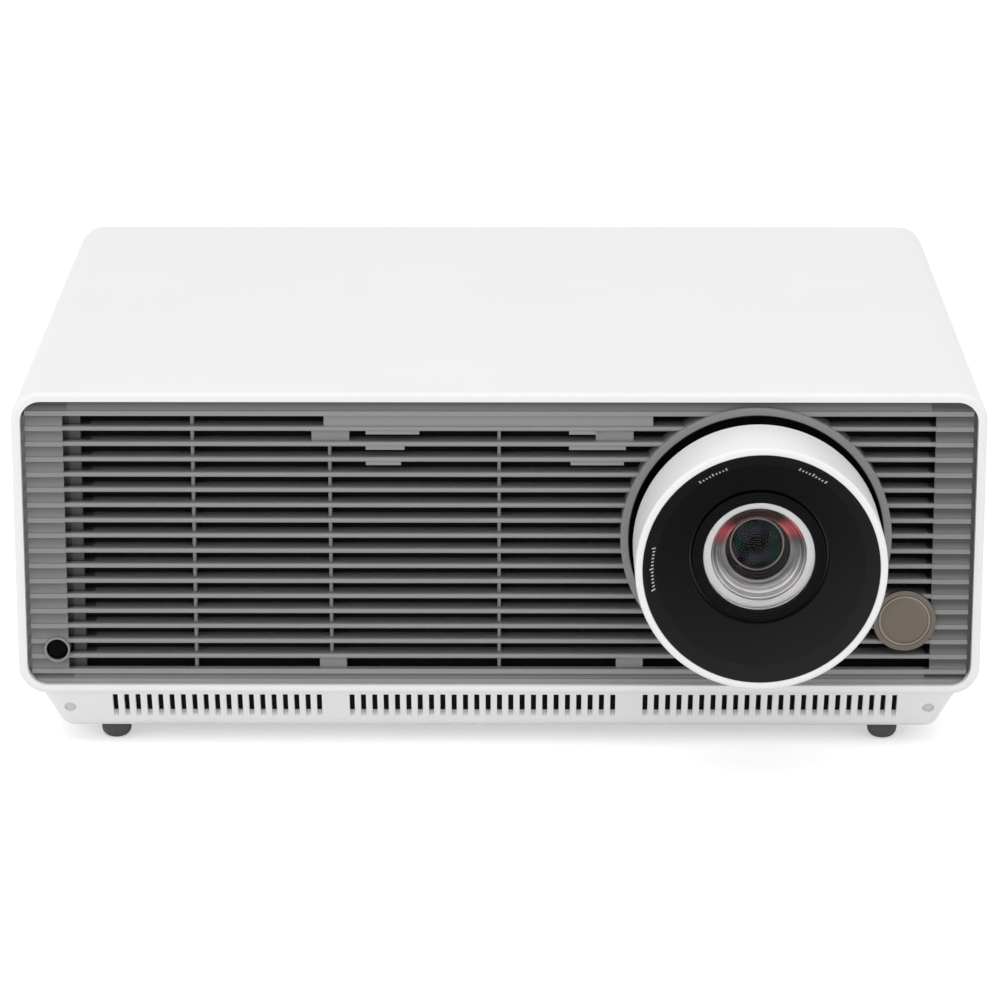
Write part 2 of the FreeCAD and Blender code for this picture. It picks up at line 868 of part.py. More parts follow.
def ir_receiver_window():
    """Black domed window over the remote-control receiver."""
    x, z = receiver_place()
    front = collar_recess + receiver_depth
    back = nose_setback + grille_plate
    flange = rod(receiver_radius + receiver_flange, at(x, back, z), at(x, back + receiver_flange, z))
    plug = rod(receiver_radius, at(x, front, z), at(x, back + receiver_flange / 2, z))
    plug = plug.makeFillet(receiver_edge, edges_at_setback(plug, front))
    return joined([plug, flange])


def front_badge():
    """Round bronze badge laid on the slats, with a raised rim."""
    away = math.radians(badge_angle)
    reach = collar_bore + collar_width + badge_gap + badge_radius
    x = lens_x + reach * math.cos(away)
    z = lens_z + reach * math.sin(away)
    front = nose_setback - badge_thickness
    disc = rod(badge_radius, at(x, front, z), at(x, nose_setback, z))
    field = rod(badge_radius - badge_rim, at(x, front - 1, z), at(x, front + badge_hollow, z))
    return disc.cut(field)


# ---- lens head ----
def lens_hood():
    """White barrel round the lens, closed behind by an annular plate."""
    front, back = -hood_reach, -hood_gap
    inner = hood_radius - hood_wall
    shoulder = front + dish_recess + dish_flange
    lip = hood_radius - hood_rim
    return turned([
        (front + hood_edge, hood_radius), (back, hood_radius), (back, tube_outer + fit_gap),
        (back - hood_back, tube_outer + fit_gap), (back - hood_back, inner), (shoulder, inner),
        (shoulder, lip), (front + hood_edge / 2, lip), (front, lip + hood_edge / 2),
        (front, hood_radius - hood_edge),
    ])


def dish_profile():
    """Front edge points of the black dish, from its rim to its hole."""
    front = -hood_reach + dish_recess
    rim = hood_radius - hood_rim - slide_gap
    return [(front, rim), (front, rim - dish_rim), (front + dish_flare_depth, dish_flare_radius),
            (-hood_reach + dish_depth, dish_hole_radius)]


def lens_dish():
    """Black funnel between the hood's rim and the lens."""
    face = dish_profile()
    flange_back = face[0][0] + dish_flange
    skin = dish_wall
    return turned(face + [
        (face[3][0] + skin, dish_hole_radius), (face[3][0] + skin, dish_hole_radius + dish_lip),
        (face[2][0] + skin + dish_rim, dish_flare_radius), (flange_back, hood_radius - hood_wall - slide_gap),
        (flange_back, face[0][1]),
    ])


def lens_tube():
    """Black main barrel that carries the lens groups and the hood."""
    inner = cell_radius + fit_gap
    back = tube_front + tube_length
    return turned([
        (tube_front, inner), (tube_front, tube_outer), (-hood_gap, tube_outer),
        (-hood_gap, tube_flange_radius), (-hood_gap + tube_flange, tube_flange_radius),
        (-hood_gap + tube_flange, tube_outer), (back, tube_outer), (back, inner),
    ])


def front_lens_cell():
    """Black focusing cell with the stepped inner baffle."""
    front = cell_front
    back = front + cell_length
    seat = glass_seat()
    throat = throat_setback()
    lip = glass_radius - glass_seat_width
    return turned([
        (front, cell_bore), (front, cell_radius - cell_edge), (front + cell_edge, cell_radius),
        (back, cell_radius), (back, small_glass_radius + slide_gap), (throat, small_glass_radius + slide_gap),
        (throat, throat_radius), (throat - throat_lip, throat_radius),
        (throat - throat_flare, throat_radius + throat_flare), (seat + glass_seat_width, lip - slide_gap),
        (seat, lip), (seat, cell_bore),
    ])


def glass_seat():
    """Setback of the shoulder that the big front element rests on."""
    return cell_front + glass_recess + glass_edge


def throat_setback():
    """Setback of the cell's throat, where the small element sits."""
    return cell_front + cell_length - small_glass_edge - small_glass_crown


def lens_disc(front, radius, edge, crown):
    """A glass element whose middle stands proud of its rim by its crown."""
    sphere = (radius ** 2 + crown ** 2) / (2 * crown)
    half = math.asin(radius / sphere) / 2
    apex = lens_point(0, 0, front - crown)
    bulge = lens_point(0, sphere * math.sin(half), front - crown + sphere * (1 - math.cos(half)))
    rim = lens_point(0, radius, front)
    corner = lens_point(0, radius, front + edge)
    middle = lens_point(0, 0, front + edge)
    outline = Part.Wire([
        Part.Arc(apex, bulge, rim).toShape(), Part.makeLine(rim, corner),
        Part.makeLine(corner, middle), Part.makeLine(middle, apex),
    ])
    return Part.Face(outline).revolve(apex, Vector(0, 1, 0), 360)


def front_lens_glass():
    """The two glass elements of the focusing cell."""
    big = lens_disc(glass_seat() - glass_edge, glass_radius, glass_edge, glass_crown)
    small = lens_disc(throat_setback() + small_glass_crown, small_glass_radius, small_glass_edge,
                      small_glass_crown)
    return Part.makeCompound([big, small])


def zoom_lens_cell():
    """Sliding ring of the zoom group."""
    front = zoom_cell_setback
    back = front + zoom_cell_length
    step = zoom_cell_step
    return turned([
        (front, zoom_cell_bore), (front, cell_radius), (back, cell_radius),
        (back, zoom_cell_bore + step), (front + step, zoom_cell_bore + step), (front + step, zoom_cell_bore),
    ])


def rear_lens_group():
    """Fixed glass elements at the back of the barrel."""
    back = tube_front + tube_length
    radius = cell_radius + fit_gap - slide_gap
    return Part.makeCompound([
        barrel(radius, back - place, back - place + rear_element_edge) for place in rear_element_places
    ])


# ---- focus and zoom drives ----
def involute(radius, base):
    """Polar angle of an involute where it reaches a radius."""
    roll = math.sqrt((radius / base) ** 2 - 1)
    return roll - math.atan(roll)


def tooth_points(teeth, index_angle):
    """One involute tooth as (radius, angle) points, root to root."""
    pitch = gear_module * teeth / 2
    base = pitch * math.cos(math.radians(pressure_angle))
    tip = pitch + tooth_addendum * gear_module
    root = pitch - tooth_dedendum * gear_module
    half = (math.pi * gear_module / 2 - gear_backlash) / (2 * pitch)
    start = max(base, root + seat_gap)
    offset = half + involute(pitch, base)
    flank = []
    for step in range(4):
        radius = start + (tip - start) * step / 3
        flank.append((radius, offset - involute(radius, base)))
    left = [(radius, index_angle - angle) for radius, angle in flank]
    right = [(radius, index_angle + angle) for radius, angle in reversed(flank)]
    return [(root, left[0][1])] + left + right + [(root, right[-1][1])]


def gear_face(points, x, z, setback):
    """A face from (radius, angle) points about a line along Y."""
    return polygon([
        at(x + radius * math.cos(angle), setback, z + radius * math.sin(angle)) for radius, angle in points
    ])


def ring_gear(setback, motor_angle, swing):
    """A plain ring on the barrel with a toothed sector facing its pinion."""
    pitch_angle = 2 * math.pi / ring_teeth
    middle = math.radians(motor_angle)
    reach = int(math.radians(swing + mesh_margin) / pitch_angle)
    points = []
    for tooth in range(-reach, reach + 1):
        points += tooth_points(ring_teeth, middle + tooth * pitch_angle)
    under = ring_body_radius - pinion_inset
    spread = points[-1][1] - points[0][1]
    inner = [(under, points[-1][1] - spread * step / (2 * reach)) for step in range(2 * reach + 1)]
    sector = gear_face(points + inner, lens_x, lens_z, setback).extrude(Vector(0, ring_width, 0))
    body = ring(ring_body_radius, tube_outer + fit_gap, at(lens_x, setback, lens_z),
                at(lens_x, setback + ring_width, lens_z))
    return body.fuse(sector).removeSplitter()


def pinion(setback, motor_angle):
    """The small gear on a motor's shaft, in mesh with its ring."""
    centre = lens_point(motor_angle, gear_distance, 0)
    facing = math.radians(motor_angle + 180)
    pitch_angle = 2 * math.pi / pinion_teeth
    points = []
    for tooth in range(pinion_teeth):
        points += tooth_points(pinion_teeth, facing + (tooth + 0.5) * pitch_angle)
    front = setback + pinion_inset
    back = setback + ring_width
    blank = gear_face(points, centre.x, centre.z, front).extrude(Vector(0, ring_width - 2 * pinion_inset, 0))
    shaft = rod(pinion_shaft_radius, at(centre.x, front, centre.z),
                at(centre.x, back + shaft_depth, centre.z))
    return blank.fuse(shaft).removeSplitter()


def lens_motor(setback, motor_angle):
    """A small motor between a pinion and the vertical carriage."""
    centre = lens_point(motor_angle, gear_distance, 0)
    front = setback + ring_width
    can = rod(lens_motor_radius, at(centre.x, front, centre.z),
              at(centre.x, vertical_carriage_setback, centre.z))
    bore = rod(pinion_shaft_radius + seat_gap, at(centre.x, front - 1, centre.z),
               at(centre.x, front + shaft_depth + seam_trim, centre.z))
    return can.cut(bore)


def focus_ring():
    """Ring gear that drives the focusing cell."""
    return ring_gear(focus_ring_setback, focus_motor_angle, focus_swing)


def zoom_ring():
    """Ring gear that drives the zoom group."""
    return ring_gear(zoom_ring_setback, zoom_motor_angle, zoom_swing)


def focus_pinion():
    """Pinion of the focus motor."""
    return pinion(focus_ring_setback, focus_motor_angle)


def zoom_pinion():
    """Pinion of the zoom motor."""
    return pinion(zoom_ring_setback, zoom_motor_angle)


def focus_motor():
    """Motor that turns the focus ring."""
    return lens_motor(focus_ring_setback, focus_motor_angle)


def zoom_motor():
    """Motor that turns the zoom ring."""
    return lens_motor(zoom_ring_setback, zoom_motor_angle)


# ---- lens shift ----
def vertical_rod_setback():
    """Setback of the upright guide rods, in the middle of their carriage."""
    return vertical_carriage_setback + carriage_thickness / 2


def cross_rod_setback():
    """Setback of the level guide rods, in the middle of their carriage."""
    return cross_carriage_setback + carriage_thickness / 2


def lift_screw_x():
    """Where the upright screw stands, left of the vertical carriage."""
    return lens_x - cross_plate_x - lug + slide_gap


def vertical_carriage():
    """Plate that grips the barrel and rides up and down."""
    s0 = vertical_carriage_setback
    s1 = s0 + carriage_thickness
    plate = block(lens_x - vertical_plate_x, lens_x + vertical_plate_x, s0, s1,
                  lens_z - vertical_plate_z, lens_z + vertical_plate_z)
    motors = [
        block(point.x - lug, point.x + lug, s0, s1, lens_z, point.z + lug)
        for point in (lens_point(angle, gear_distance, 0) for angle in (focus_motor_angle, zoom_motor_angle))
    ]
    nut = block(lift_screw_x() - lug, lens_x - vertical_plate_x + 1, s0, s1,
                lens_z - lug / 2, lens_z + lug / 2)
    plate = plate.fuse(motors + [nut])
    holes = [rod(tube_outer + seat_gap, at(lens_x, s0 - 1, lens_z), at(lens_x, s1 + 1, lens_z))]
    s = vertical_rod_setback()
    for side in (-1, 1):
        x = lens_x + side * vertical_rod_offset
        holes.append(rod(rod_radius + slide_gap, at(x, s, 0), at(x, s, top_z)))
    holes.append(rod(screw_radius + slide_gap, at(lift_screw_x(), s, 0), at(lift_screw_x(), s, top_z)))
    return plate.cut(holes)


def lug_gap():
    """Clear height from the lens axis to a vertical rod's lug."""
    return vertical_plate_z + 2 * shift_up


def shift_rods_vertical():
    """Two upright guide rods held by the horizontal carriage."""
    s = vertical_rod_setback()
    reach = lug_gap() + lug
    rods = [
        rod(rod_radius, at(lens_x + side * vertical_rod_offset, s, lens_z - reach),
            at(lens_x + side * vertical_rod_offset, s, lens_z + reach))
        for side in (-1, 1)
    ]
    return Part.makeCompound(rods)


def horizontal_carriage():
    """Plate that rides sideways and carries the upright rods, screw and motor."""
    s0 = cross_carriage_setback
    s1 = s0 + carriage_thickness
    front = vertical_rod_setback() - lug / 2
    pieces = [block(lens_x - cross_plate_x, lens_x + cross_plate_x, s0, s1,
                    lens_z - cross_plate_z, lens_z + cross_plate_z)]
    for side_x in (-1, 1):
        x = lens_x + side_x * vertical_rod_offset
        for low in (lens_z - lug_gap() - lug, lens_z + lug_gap()):
            pieces.append(block(x - lug, x + lug, front, s0 + 1, low, low + lug))
    x = lift_screw_x()
    shelf_z = lens_z - cross_plate_z + shift_motor_length
    pieces.append(block(x - lug, lens_x - cross_plate_x + 1, front, s1, shelf_z, shelf_z + shelf))
    pieces.append(block(lens_x - lug, lens_x + lug, s0, s1,
                        cross_screw_z() - lug, lens_z - cross_plate_z + 1))
    plate = joined(pieces)
    bore = tube_outer + shift_up + 2 * fit_gap
    holes = [rod(bore, at(lens_x, s0 - 1, lens_z), at(lens_x, s1 + 1, lens_z))]
    s = cross_rod_setback()
    for side in (-1, 1):
        z = lens_z + side * cross_rod_offset
        holes.append(rod(rod_radius + slide_gap, at(0, s, z), at(half_width, s, z)))
        rod_x = lens_x + side * vertical_rod_offset
        holes.append(rod(rod_radius + seat_gap, at(rod_x, vertical_rod_setback(), 0),
                         at(rod_x, vertical_rod_setback(), top_z)))
    holes.append(rod(screw_radius + fit_gap, at(x, vertical_rod_setback(), shelf_z - 1),
                     at(x, vertical_rod_setback(), shelf_z + shelf + 1)))
    holes.append(rod(screw_radius + slide_gap, at(0, cross_screw_setback(), cross_screw_z()),
                     at(half_width, cross_screw_setback(), cross_screw_z())))
    return plate.cut(holes)


def shift_motor_vertical():
    """Motor under the shelf that turns the upright screw."""
    x, s = lift_screw_x(), vertical_rod_setback()
    top = lens_z - cross_plate_z + shift_motor_length
    can = rod(shift_motor_radius, at(x, s, top - shift_motor_length), at(x, s, top))
    bore = rod(screw_shaft_radius + seat_gap, at(x, s, top - shaft_depth - seam_trim), at(x, s, top + 1))
    return can.cut(bore)


def shift_screw_vertical():
    """Upright screw that lifts the lens."""
    x, s = lift_screw_x(), vertical_rod_setback()
    top = lens_z - cross_plate_z + shift_motor_length
    thread = rod(screw_radius, at(x, s, top + slide_gap), at(x, s, lens_z + lug + 2 * shift_up))
    return thread.fuse(rod(screw_shaft_radius, at(x, s, top - shaft_depth), at(x, s, top + 1)))


def cross_screw_z():
    """Height of the level screw, so that its motor clears the carriage."""
    return lens_z - cross_plate_z - shift_motor_radius - screw_drop


def cross_screw_setback():
    """Setback of the level screw, in the middle of its carriage."""
    return cross_rod_setback()


def cross_motor_x():
    """Left end of the motor that moves the lens sideways."""
    return lens_x + lug + shift_across + screw_reach


def shift_motor_horizontal():
    """Motor on the tray that turns the level screw."""
    x, s, z = cross_motor_x(), cross_screw_setback(), cross_screw_z()
    can = rod(shift_motor_radius, at(x, s, z), at(x + shift_motor_length, s, z))
    bore = rod(screw_shaft_radius + seat_gap, at(x - 1, s, z), at(x + shaft_depth + seam_trim, s, z))
    return can.cut(bore)


def shift_screw_horizontal():
    """Level screw that moves the lens sideways."""
    x, s, z = cross_motor_x(), cross_screw_setback(), cross_screw_z()
    thread = rod(screw_radius, at(lens_x - 2 * lug - shift_across, s, z), at(x - slide_gap, s, z))
    return thread.fuse(rod(screw_shaft_radius, at(x - 1, s, z), at(x + shaft_depth, s, z)))


def cross_rod_reach():
    """Half the length of a level guide rod."""
    return cross_plate_x + shift_across + rod_end_gap + lug


def shift_rods_horizontal():
    """Two level guide rods held by the engine housing."""
    s = cross_rod_setback()
    reach = cross_rod_reach()
    rods = [
        rod(rod_radius, at(lens_x - reach, s, lens_z + side * cross_rod_offset),
            at(lens_x + reach, s, lens_z + side * cross_rod_offset))
        for side in (-1, 1)
    ]
    return Part.makeCompound(rods)


# ---- optical engine ----
def tunnel_setback():
    """Setback of the light tunnel, at the prism's middle."""
    return prism_setback + prism_side / 2


def engine_housing():
    """Cast housing that holds the prism and the level guide rods."""
    s0 = engine_setback
    s1 = s0 + engine_length
    z0, z1 = engine_low_z, engine_low_z + engine_height
    outer = block(engine_left, engine_right, s0, s1, z0, z1)
    inner = block(engine_left + engine_wall, engine_right - engine_wall, s0 + engine_wall,
                  s1 - engine_wall, z0 + engine_wall, z1 + 1)
    pieces = [outer.cut(inner)]
    middle = z0 + engine_wall / 2
    s = tunnel_setback()
    half = prism_side / 2 - engine_wall
    pieces.append(block(lens_x - half, lens_x + half, s - half, s + half, middle, lens_z - prism_side / 2))
    x = (engine_left + lens_x - prism_side / 2) / 2
    pieces.append(block(x - engine_wall, x + engine_wall, s - engine_wall, s + engine_wall,
                        middle, lens_z - tunnel_side / 2))
    inset = 2 * engine_wall
    for x in (engine_left + inset, engine_right - inset):
        for s in (s0 + inset, s1 - inset):
            pieces.append(rod(engine_leg_radius, at(x, s, floor_z), at(x, s, middle)))
    reach = cross_rod_reach()
    for side in (-1, 1):
        for x in (lens_x - reach, lens_x + reach - lug):
            z = lens_z + side * cross_rod_offset
            pieces.append(block(x, x + lug, cross_rod_setback() - lug / 2, s0 + 1, z - lug / 2, z + lug / 2))
    shape = joined(pieces)
    bore = tube_outer + math.hypot(shift_up, shift_across) + 2 * fit_gap
    half = dmd_window / 2
    holes = [
        barrel(bore, s0 - 1, s0 + engine_wall + 1),
        block(lens_x - half, lens_x + half, s1 - engine_wall - 1, s1 + 1, lens_z - half, lens_z + half),
        rod(tunnel_side, at(engine_left - 1, tunnel_setback(), lens_z),
            at(engine_left + engine_wall + 1, tunnel_setback(), lens_z)),
    ]
    s = cross_rod_setback()
    for side in (-1, 1):
        z = lens_z + side * cross_rod_offset
        holes.append(rod(rod_radius + seat_gap, at(0, s, z), at(half_width, s, z)))
    return shape.cut(holes)


def prism_block():
    """Glass prism between the lens, the light tunnel and the image chip."""
    half = prism_side / 2
    return block(lens_x - half, lens_x + half, prism_setback, prism_setback + prism_side,
                 lens_z - half, lens_z + half)


def light_tunnel():
    """Glass rod that evens out the light on its way to the prism."""
    half = tunnel_side / 2
    return block(engine_left + engine_wall + fit_gap, lens_x - prism_side / 2 - fit_gap,
                 tunnel_setback() - half, tunnel_setback() + half, lens_z - half, lens_z + half)


def engine_back():
    """Setback of the engine housing's rear face."""
    return engine_setback + engine_length


def dmd_board():
    """Image chip on its board, set into the engine's rear window."""
    s = engine_back()
    board = block(lens_x - dmd_board_width / 2, lens_x + dmd_board_width / 2, s, s + board_thickness,
                  lens_z - dmd_board_height / 2, lens_z + dmd_board_height / 2)
    half = dmd_window / 2 - fit_gap
    chip = block(lens_x - half, lens_x + half, prism_setback + prism_side + fit_gap, s + board_thickness / 2,
                 lens_z - half, lens_z + half)
    return joined([board, chip])


def dmd_heatsink():
    """Finned block on the back of the image chip's board."""
    s = engine_back() + board_thickness
    half = heatsink_side / 2
    pieces = [block(lens_x - half, lens_x + half, s, s + heatsink_base, lens_z - half, lens_z + half)]
    count = int(heatsink_side / heatsink_fin_pitch)
    for index in range(count + 1):
        x = lens_x - half + index * (heatsink_side - heatsink_fin) / count
        pieces.append(block(x, x + heatsink_fin, s, s + heatsink_depth, lens_z - half, lens_z + half))
    return joined(pieces)


def wheel_axis_z():
    """Height of the phosphor wheel's axis, one rim below the beam."""
    return lens_z - wheel_radius + wheel_margin


def wheel_left():
    """Left face of the phosphor wheel's case."""
    return engine_left - wheel_case_width


def phosphor_wheel_housing():
    """Closed case of the phosphor wheel, with its motor, on two legs."""
    x0, x1 = wheel_left(), engine_left
    inner = wheel_radius + wheel_margin - wheel_case_wall / 2
    half = inner + wheel_case_wall
    s, z = tunnel_setback(), wheel_axis_z()
    middle = x0 + wheel_case_width / 2
    shell = block(x0, x1, s - half, s + half, z - half, z + half)
    shell = shell.cut(block(x0 + wheel_case_wall, x1 - wheel_case_wall, s - inner, s + inner,
                            z - inner, z + inner))
    motor = rod(wheel_motor_radius, at(x0 + wheel_case_wall / 2, s, z), at(middle, s, z))
    legs = [block(x0 + leg, x1 - leg, s + side * (half - leg) - leg / 2, s + side * (half - leg) + leg / 2,
                  floor_z, z - inner) for side in (-1, 1)]
    shape = joined([shell, motor] + legs)
    return shape.cut([
        rod(wheel_shaft_radius + seat_gap, at(middle - wheel_shaft - seam_trim, s, z), at(middle + 1, s, z)),
        rod(tunnel_side, at(x0 - 1, s, lens_z), at(x0 + wheel_case_wall + 1, s, lens_z)),
        rod(tunnel_side, at(x1 - wheel_case_wall - 1, s, lens_z), at(x1 + 1, s, lens_z)),
    ])


def phosphor_wheel():
    """Coated disc that turns blue laser light into yellow."""
    x = wheel_left() + wheel_case_width / 2
    s, z = tunnel_setback(), wheel_axis_z()
    end = x + seam_trim + wheel_hub
    return joined([
        rod(wheel_shaft_radius, at(x - wheel_shaft, s, z), at(end, s, z)),
        rod(wheel_motor_radius, at(x + seam_trim, s, z), at(end, s, z)),
        rod(wheel_radius, at(end - wheel_thickness, s, z), at(end, s, z)),
    ])


def pipe_places():
    """Setback and height of each heat pipe."""
    s, z = tunnel_setback(), lens_z
    return [(s + a * pipe_spread / 2, z + b * pipe_spread / 2) for a in (-1, 1) for b in (-1, 1)]


def laser_module():
    """Laser bank on its cold plate, standing on two legs."""
    x1 = wheel_left()
    x0 = x1 - laser_block
    s, half = tunnel_setback(), laser_block / 2
    pieces = [block(x0, x1, s - half, s + half, lens_z - half, lens_z + half)]
    for side in (-1, 1):
        outer = s + side * half
        pieces.append(block(x0 + leg, x0 + 2 * leg, min(outer, outer - side * leg),
                            max(outer, outer - side * leg), floor_z, lens_z - half + 1))
    module = joined(pieces)
    bores = [rod(pipe_radius + seat_gap, at(x0 - 1, ps, z), at(x1 - leg, ps, z)) for ps, z in pipe_places()]
    beam = rod(tunnel_side - 1, at(x1 - leg, s, lens_z), at(x1 + 1, s, lens_z))
    return module.cut(bores + [beam])


def heat_pipes():
    """Four straight heat pipes from the laser bank into the fin stack."""
    x0 = fin_stack_left - pipe_end
    x1 = wheel_left() - leg - seam_trim
    return Part.makeCompound([rod(pipe_radius, at(x0, s, z), at(x1, s, z)) for s, z in pipe_places()])


def fin_setback():
    """Front edge of the fin stack."""
    return tunnel_setback() - fin_depth / 2


def fin_low_z():
    """Bottom edge of the fin stack."""
    return lens_z - fin_drop


def laser_heatsink():
    """Stack of thin fins on the heat pipes."""
    pipes = [rod(pipe_radius + seat_gap, at(-half_width, s, z), at(0, s, z)) for s, z in pipe_places()]
    fins = []
    for index in range(fin_count):
        x = fin_stack_left + index * fin_pitch
        fin = block(x, x + fin_thickness, fin_setback(), fin_setback() + fin_depth,
                    fin_low_z(), fin_low_z() + fin_height)
        fins.append(fin.cut(pipes))
    return Part.makeCompound(fins)


# ---- fans ----
def fan_middle_z():
    """Height of the fans' axes."""
    return floor_z + fan_above_base + fan_size / 2


def fan_frame(x):
    """Square fan frame with four struts to its motor seat."""
    z = fan_middle_z()
    half = fan_size / 2
    back = fan_setback + fan_thickness
    frame = rounded_plate(x - half, x + half, z - half, z + half, fan_corner, fan_setback, back)
    frame = frame.cut(rod(fan_bore, at(x, fan_setback - 1, z), at(x, back + 1, z)))
    pieces = [rod(fan_hub_radius, at(x, back - fan_strut, z), at(x, back, z))]
    for angle in (45, 135, 225, 315):
        strut = Part.makeBox(fan_bore + 2, fan_strut, fan_strut, at(x, back - fan_strut, z - fan_strut / 2))
        strut.rotate(at(x, 0, z), Vector(0, 1, 0), angle)
        pieces.append(strut)
    frame = frame.fuse(pieces).removeSplitter()
    holes = [rod(fan_shaft_radius + seat_gap, at(x, back - fan_strut - 1, z), at(x, back - seam_trim, z))]
    for hole_x in (x - fan_hole_offset, x + fan_hole_offset):
        for hole_z in (z - fan_hole_offset, z + fan_hole_offset):
            holes.append(rod(fan_hole_radius, at(hole_x, fan_setback - 1, hole_z),
                             at(hole_x, back + 1, hole_z)))
    return frame.cut(holes)


def fan_rotor(x):
    """Fan hub with pitched blades and its shaft."""
    z = fan_middle_z()
    front = fan_setback + fan_face_gap
    back = fan_setback + fan_thickness - fan_strut - seam_trim
    hub = rod(fan_hub_radius, at(x, front, z), at(x, back, z))
    hub = hub.makeFillet(fan_face_gap, edges_at_setback(hub, front))
    tip = fan_bore - fan_tip_gap
    envelope = ring(tip, fan_hub_radius - 1, at(x, front + 1, z), at(x, back - seam_trim, z))
    shaft_end = fan_setback + fan_thickness - 2 * seam_trim
    pieces = [rod(fan_shaft_radius, at(x, back - 1, z), at(x, shaft_end, z))]
    for index in range(fan_blades):
        blade = Part.makeBox(2 * fan_bore, 2 * fan_thickness, fan_blade_thickness,
                             at(x, front - fan_thickness / 2, z - fan_blade_thickness / 2))
        blade.rotate(at(x, (front + back) / 2, z), Vector(1, 0, 0), fan_blade_pitch)
        blade.rotate(at(x, 0, z), Vector(0, 1, 0), index * 360 / fan_blades)
        pieces.append(blade.common(envelope))
    return hub.fuse(pieces).removeSplitter()


def fan_frame_left():
    """Frame of the fan in front of the fin stack."""
    return fan_frame(fan_places[0])


def fan_frame_right():
    """Frame of the fan beside the lens."""
    return fan_frame(fan_places[1])


def fan_rotor_left():
    """Rotor of the fan in front of the fin stack."""
    return fan_rotor(fan_places[0])


def fan_rotor_right():
    """Rotor of the fan beside the lens."""
    return fan_rotor(fan_places[1])


# ---- boards and sockets ----
def supply_corners():
    """Standoffs under the power supply board."""
    inset = standoff_inset
    return [(x, s) for x in (supply_left + inset, supply_left + supply_width - inset)
            for s in (supply_setback + inset, supply_setback + supply_length - inset)]


def power_supply_board():
    """Power supply board with its transformer, capacitors and coolers."""
    z = floor_z + supply_standoff
    x0, s0 = supply_left, supply_setback
    top = z + board_thickness
    middle = top - board_thickness / 2
    pieces = [block(x0, x0 + supply_width, s0, s0 + supply_length, z, top)]
    for x, s, width, length, height in supply_blocks:
        pieces.append(block(x0 + x, x0 + x + width, s0 + s, s0 + s + length, middle, top + height))
    for x, s, radius, height in supply_cans:
        pieces.append(rod(radius, at(x0 + x, s0 + s, middle), at(x0 + x, s0 + s, top + height)))
    return joined(pieces)


def main_board():
    """Upright main board behind the sockets, with its chips and their cooler."""
    z = floor_z + main_above_base
    x0, s0 = main_left, main_setback
    middle = s0 + board_thickness / 2
    pieces = [block(x0, x0 + main_width, s0, s0 + board_thickness, z, z + main_height)]
    for x, up, width, height, depth in main_blocks:
        pieces.append(block(x0 + x, x0 + x + width, s0 - depth, middle, z + up, z + up + height))
    return joined(pieces)


def socket(x, mouth, tongue):
    """A sheet-metal socket on the main board, open to the rear."""
    width, height = mouth
    face = body_depth - wall + socket_proud
    half_w, half_h = width / 2, height / 2
    z = socket_z
    shell = block(x - half_w - socket_wall, x + half_w + socket_wall, main_setback + board_thickness, face,
                  z - half_h - socket_wall, z + half_h + socket_wall)
    shell = shell.cut(block(x - half_w, x + half_w, face - socket_depth, face + 1, z - half_h, z + half_h))
    if not tongue:
        return shell
    half_w = half_w - tongue_margin
    half_h = tongue_thickness / 2
    inner = block(x - half_w, x + half_w, face - socket_depth - 1, face - socket_depth / 2,
                  z - half_h, z + half_h)
    return joined([shell, inner])


def hdmi_ports():
    """Two video sockets."""
    return Part.makeCompound([socket(x, hdmi_mouth, True) for x in hdmi_places])


def usb_ports():
    """Two data sockets."""
    return Part.makeCompound([socket(x, usb_mouth, True) for x in usb_places])


def network_ports():
    """Two network sockets."""
    return Part.makeCompound([socket(x, network_mouth, False) for x in network_places])


def audio_jacks():
    """Two round jacks."""
    face = body_depth - wall + socket_proud
    jacks = []
    for x in jack_places:
        body = rod(jack_body, at(x, main_setback + board_thickness, socket_z), at(x, face, socket_z))
        bore = rod(jack_radius, at(x, face - socket_depth, socket_z), at(x, face + 1, socket_z))
        jacks.append(body.cut(bore))
    return Part.makeCompound(jacks)


def ac_inlet():
    """Three-pin mains inlet."""
    width, height = inlet_mouth
    face = body_depth - wall + socket_proud
    half_w, half_h = width / 2, height / 2
    x, z = inlet_x, socket_z
    outer = rounded_plate(x - half_w - inlet_wall, x + half_w + inlet_wall, z - half_h - inlet_wall,
                          z + half_h + inlet_wall, inlet_corner, face - inlet_length, face)
    reach = inlet_flange + inlet_wall
    flange = rounded_plate(x - half_w - reach, x + half_w + reach, z - half_h - reach, z + half_h + reach,
                           inlet_corner, panel_setback - inlet_wall, panel_setback)
    cavity = rounded_plate(x - half_w, x + half_w, z - half_h, z + half_h, inlet_corner - fit_gap,
                           face - inlet_depth, face + 1)
    pins = []
    for dx, dz in ((-pin_across, -pin_drop), (0.0, pin_rise), (pin_across, -pin_drop)):
        pins.append(block(x + dx - pin_half_width, x + dx + pin_half_width, face - inlet_depth - 1,
                          face - pin_recess, z + dz - pin_half_height, z + dz + pin_half_height))
    return joined([joined([outer, flange]).cut(cavity)] + pins)


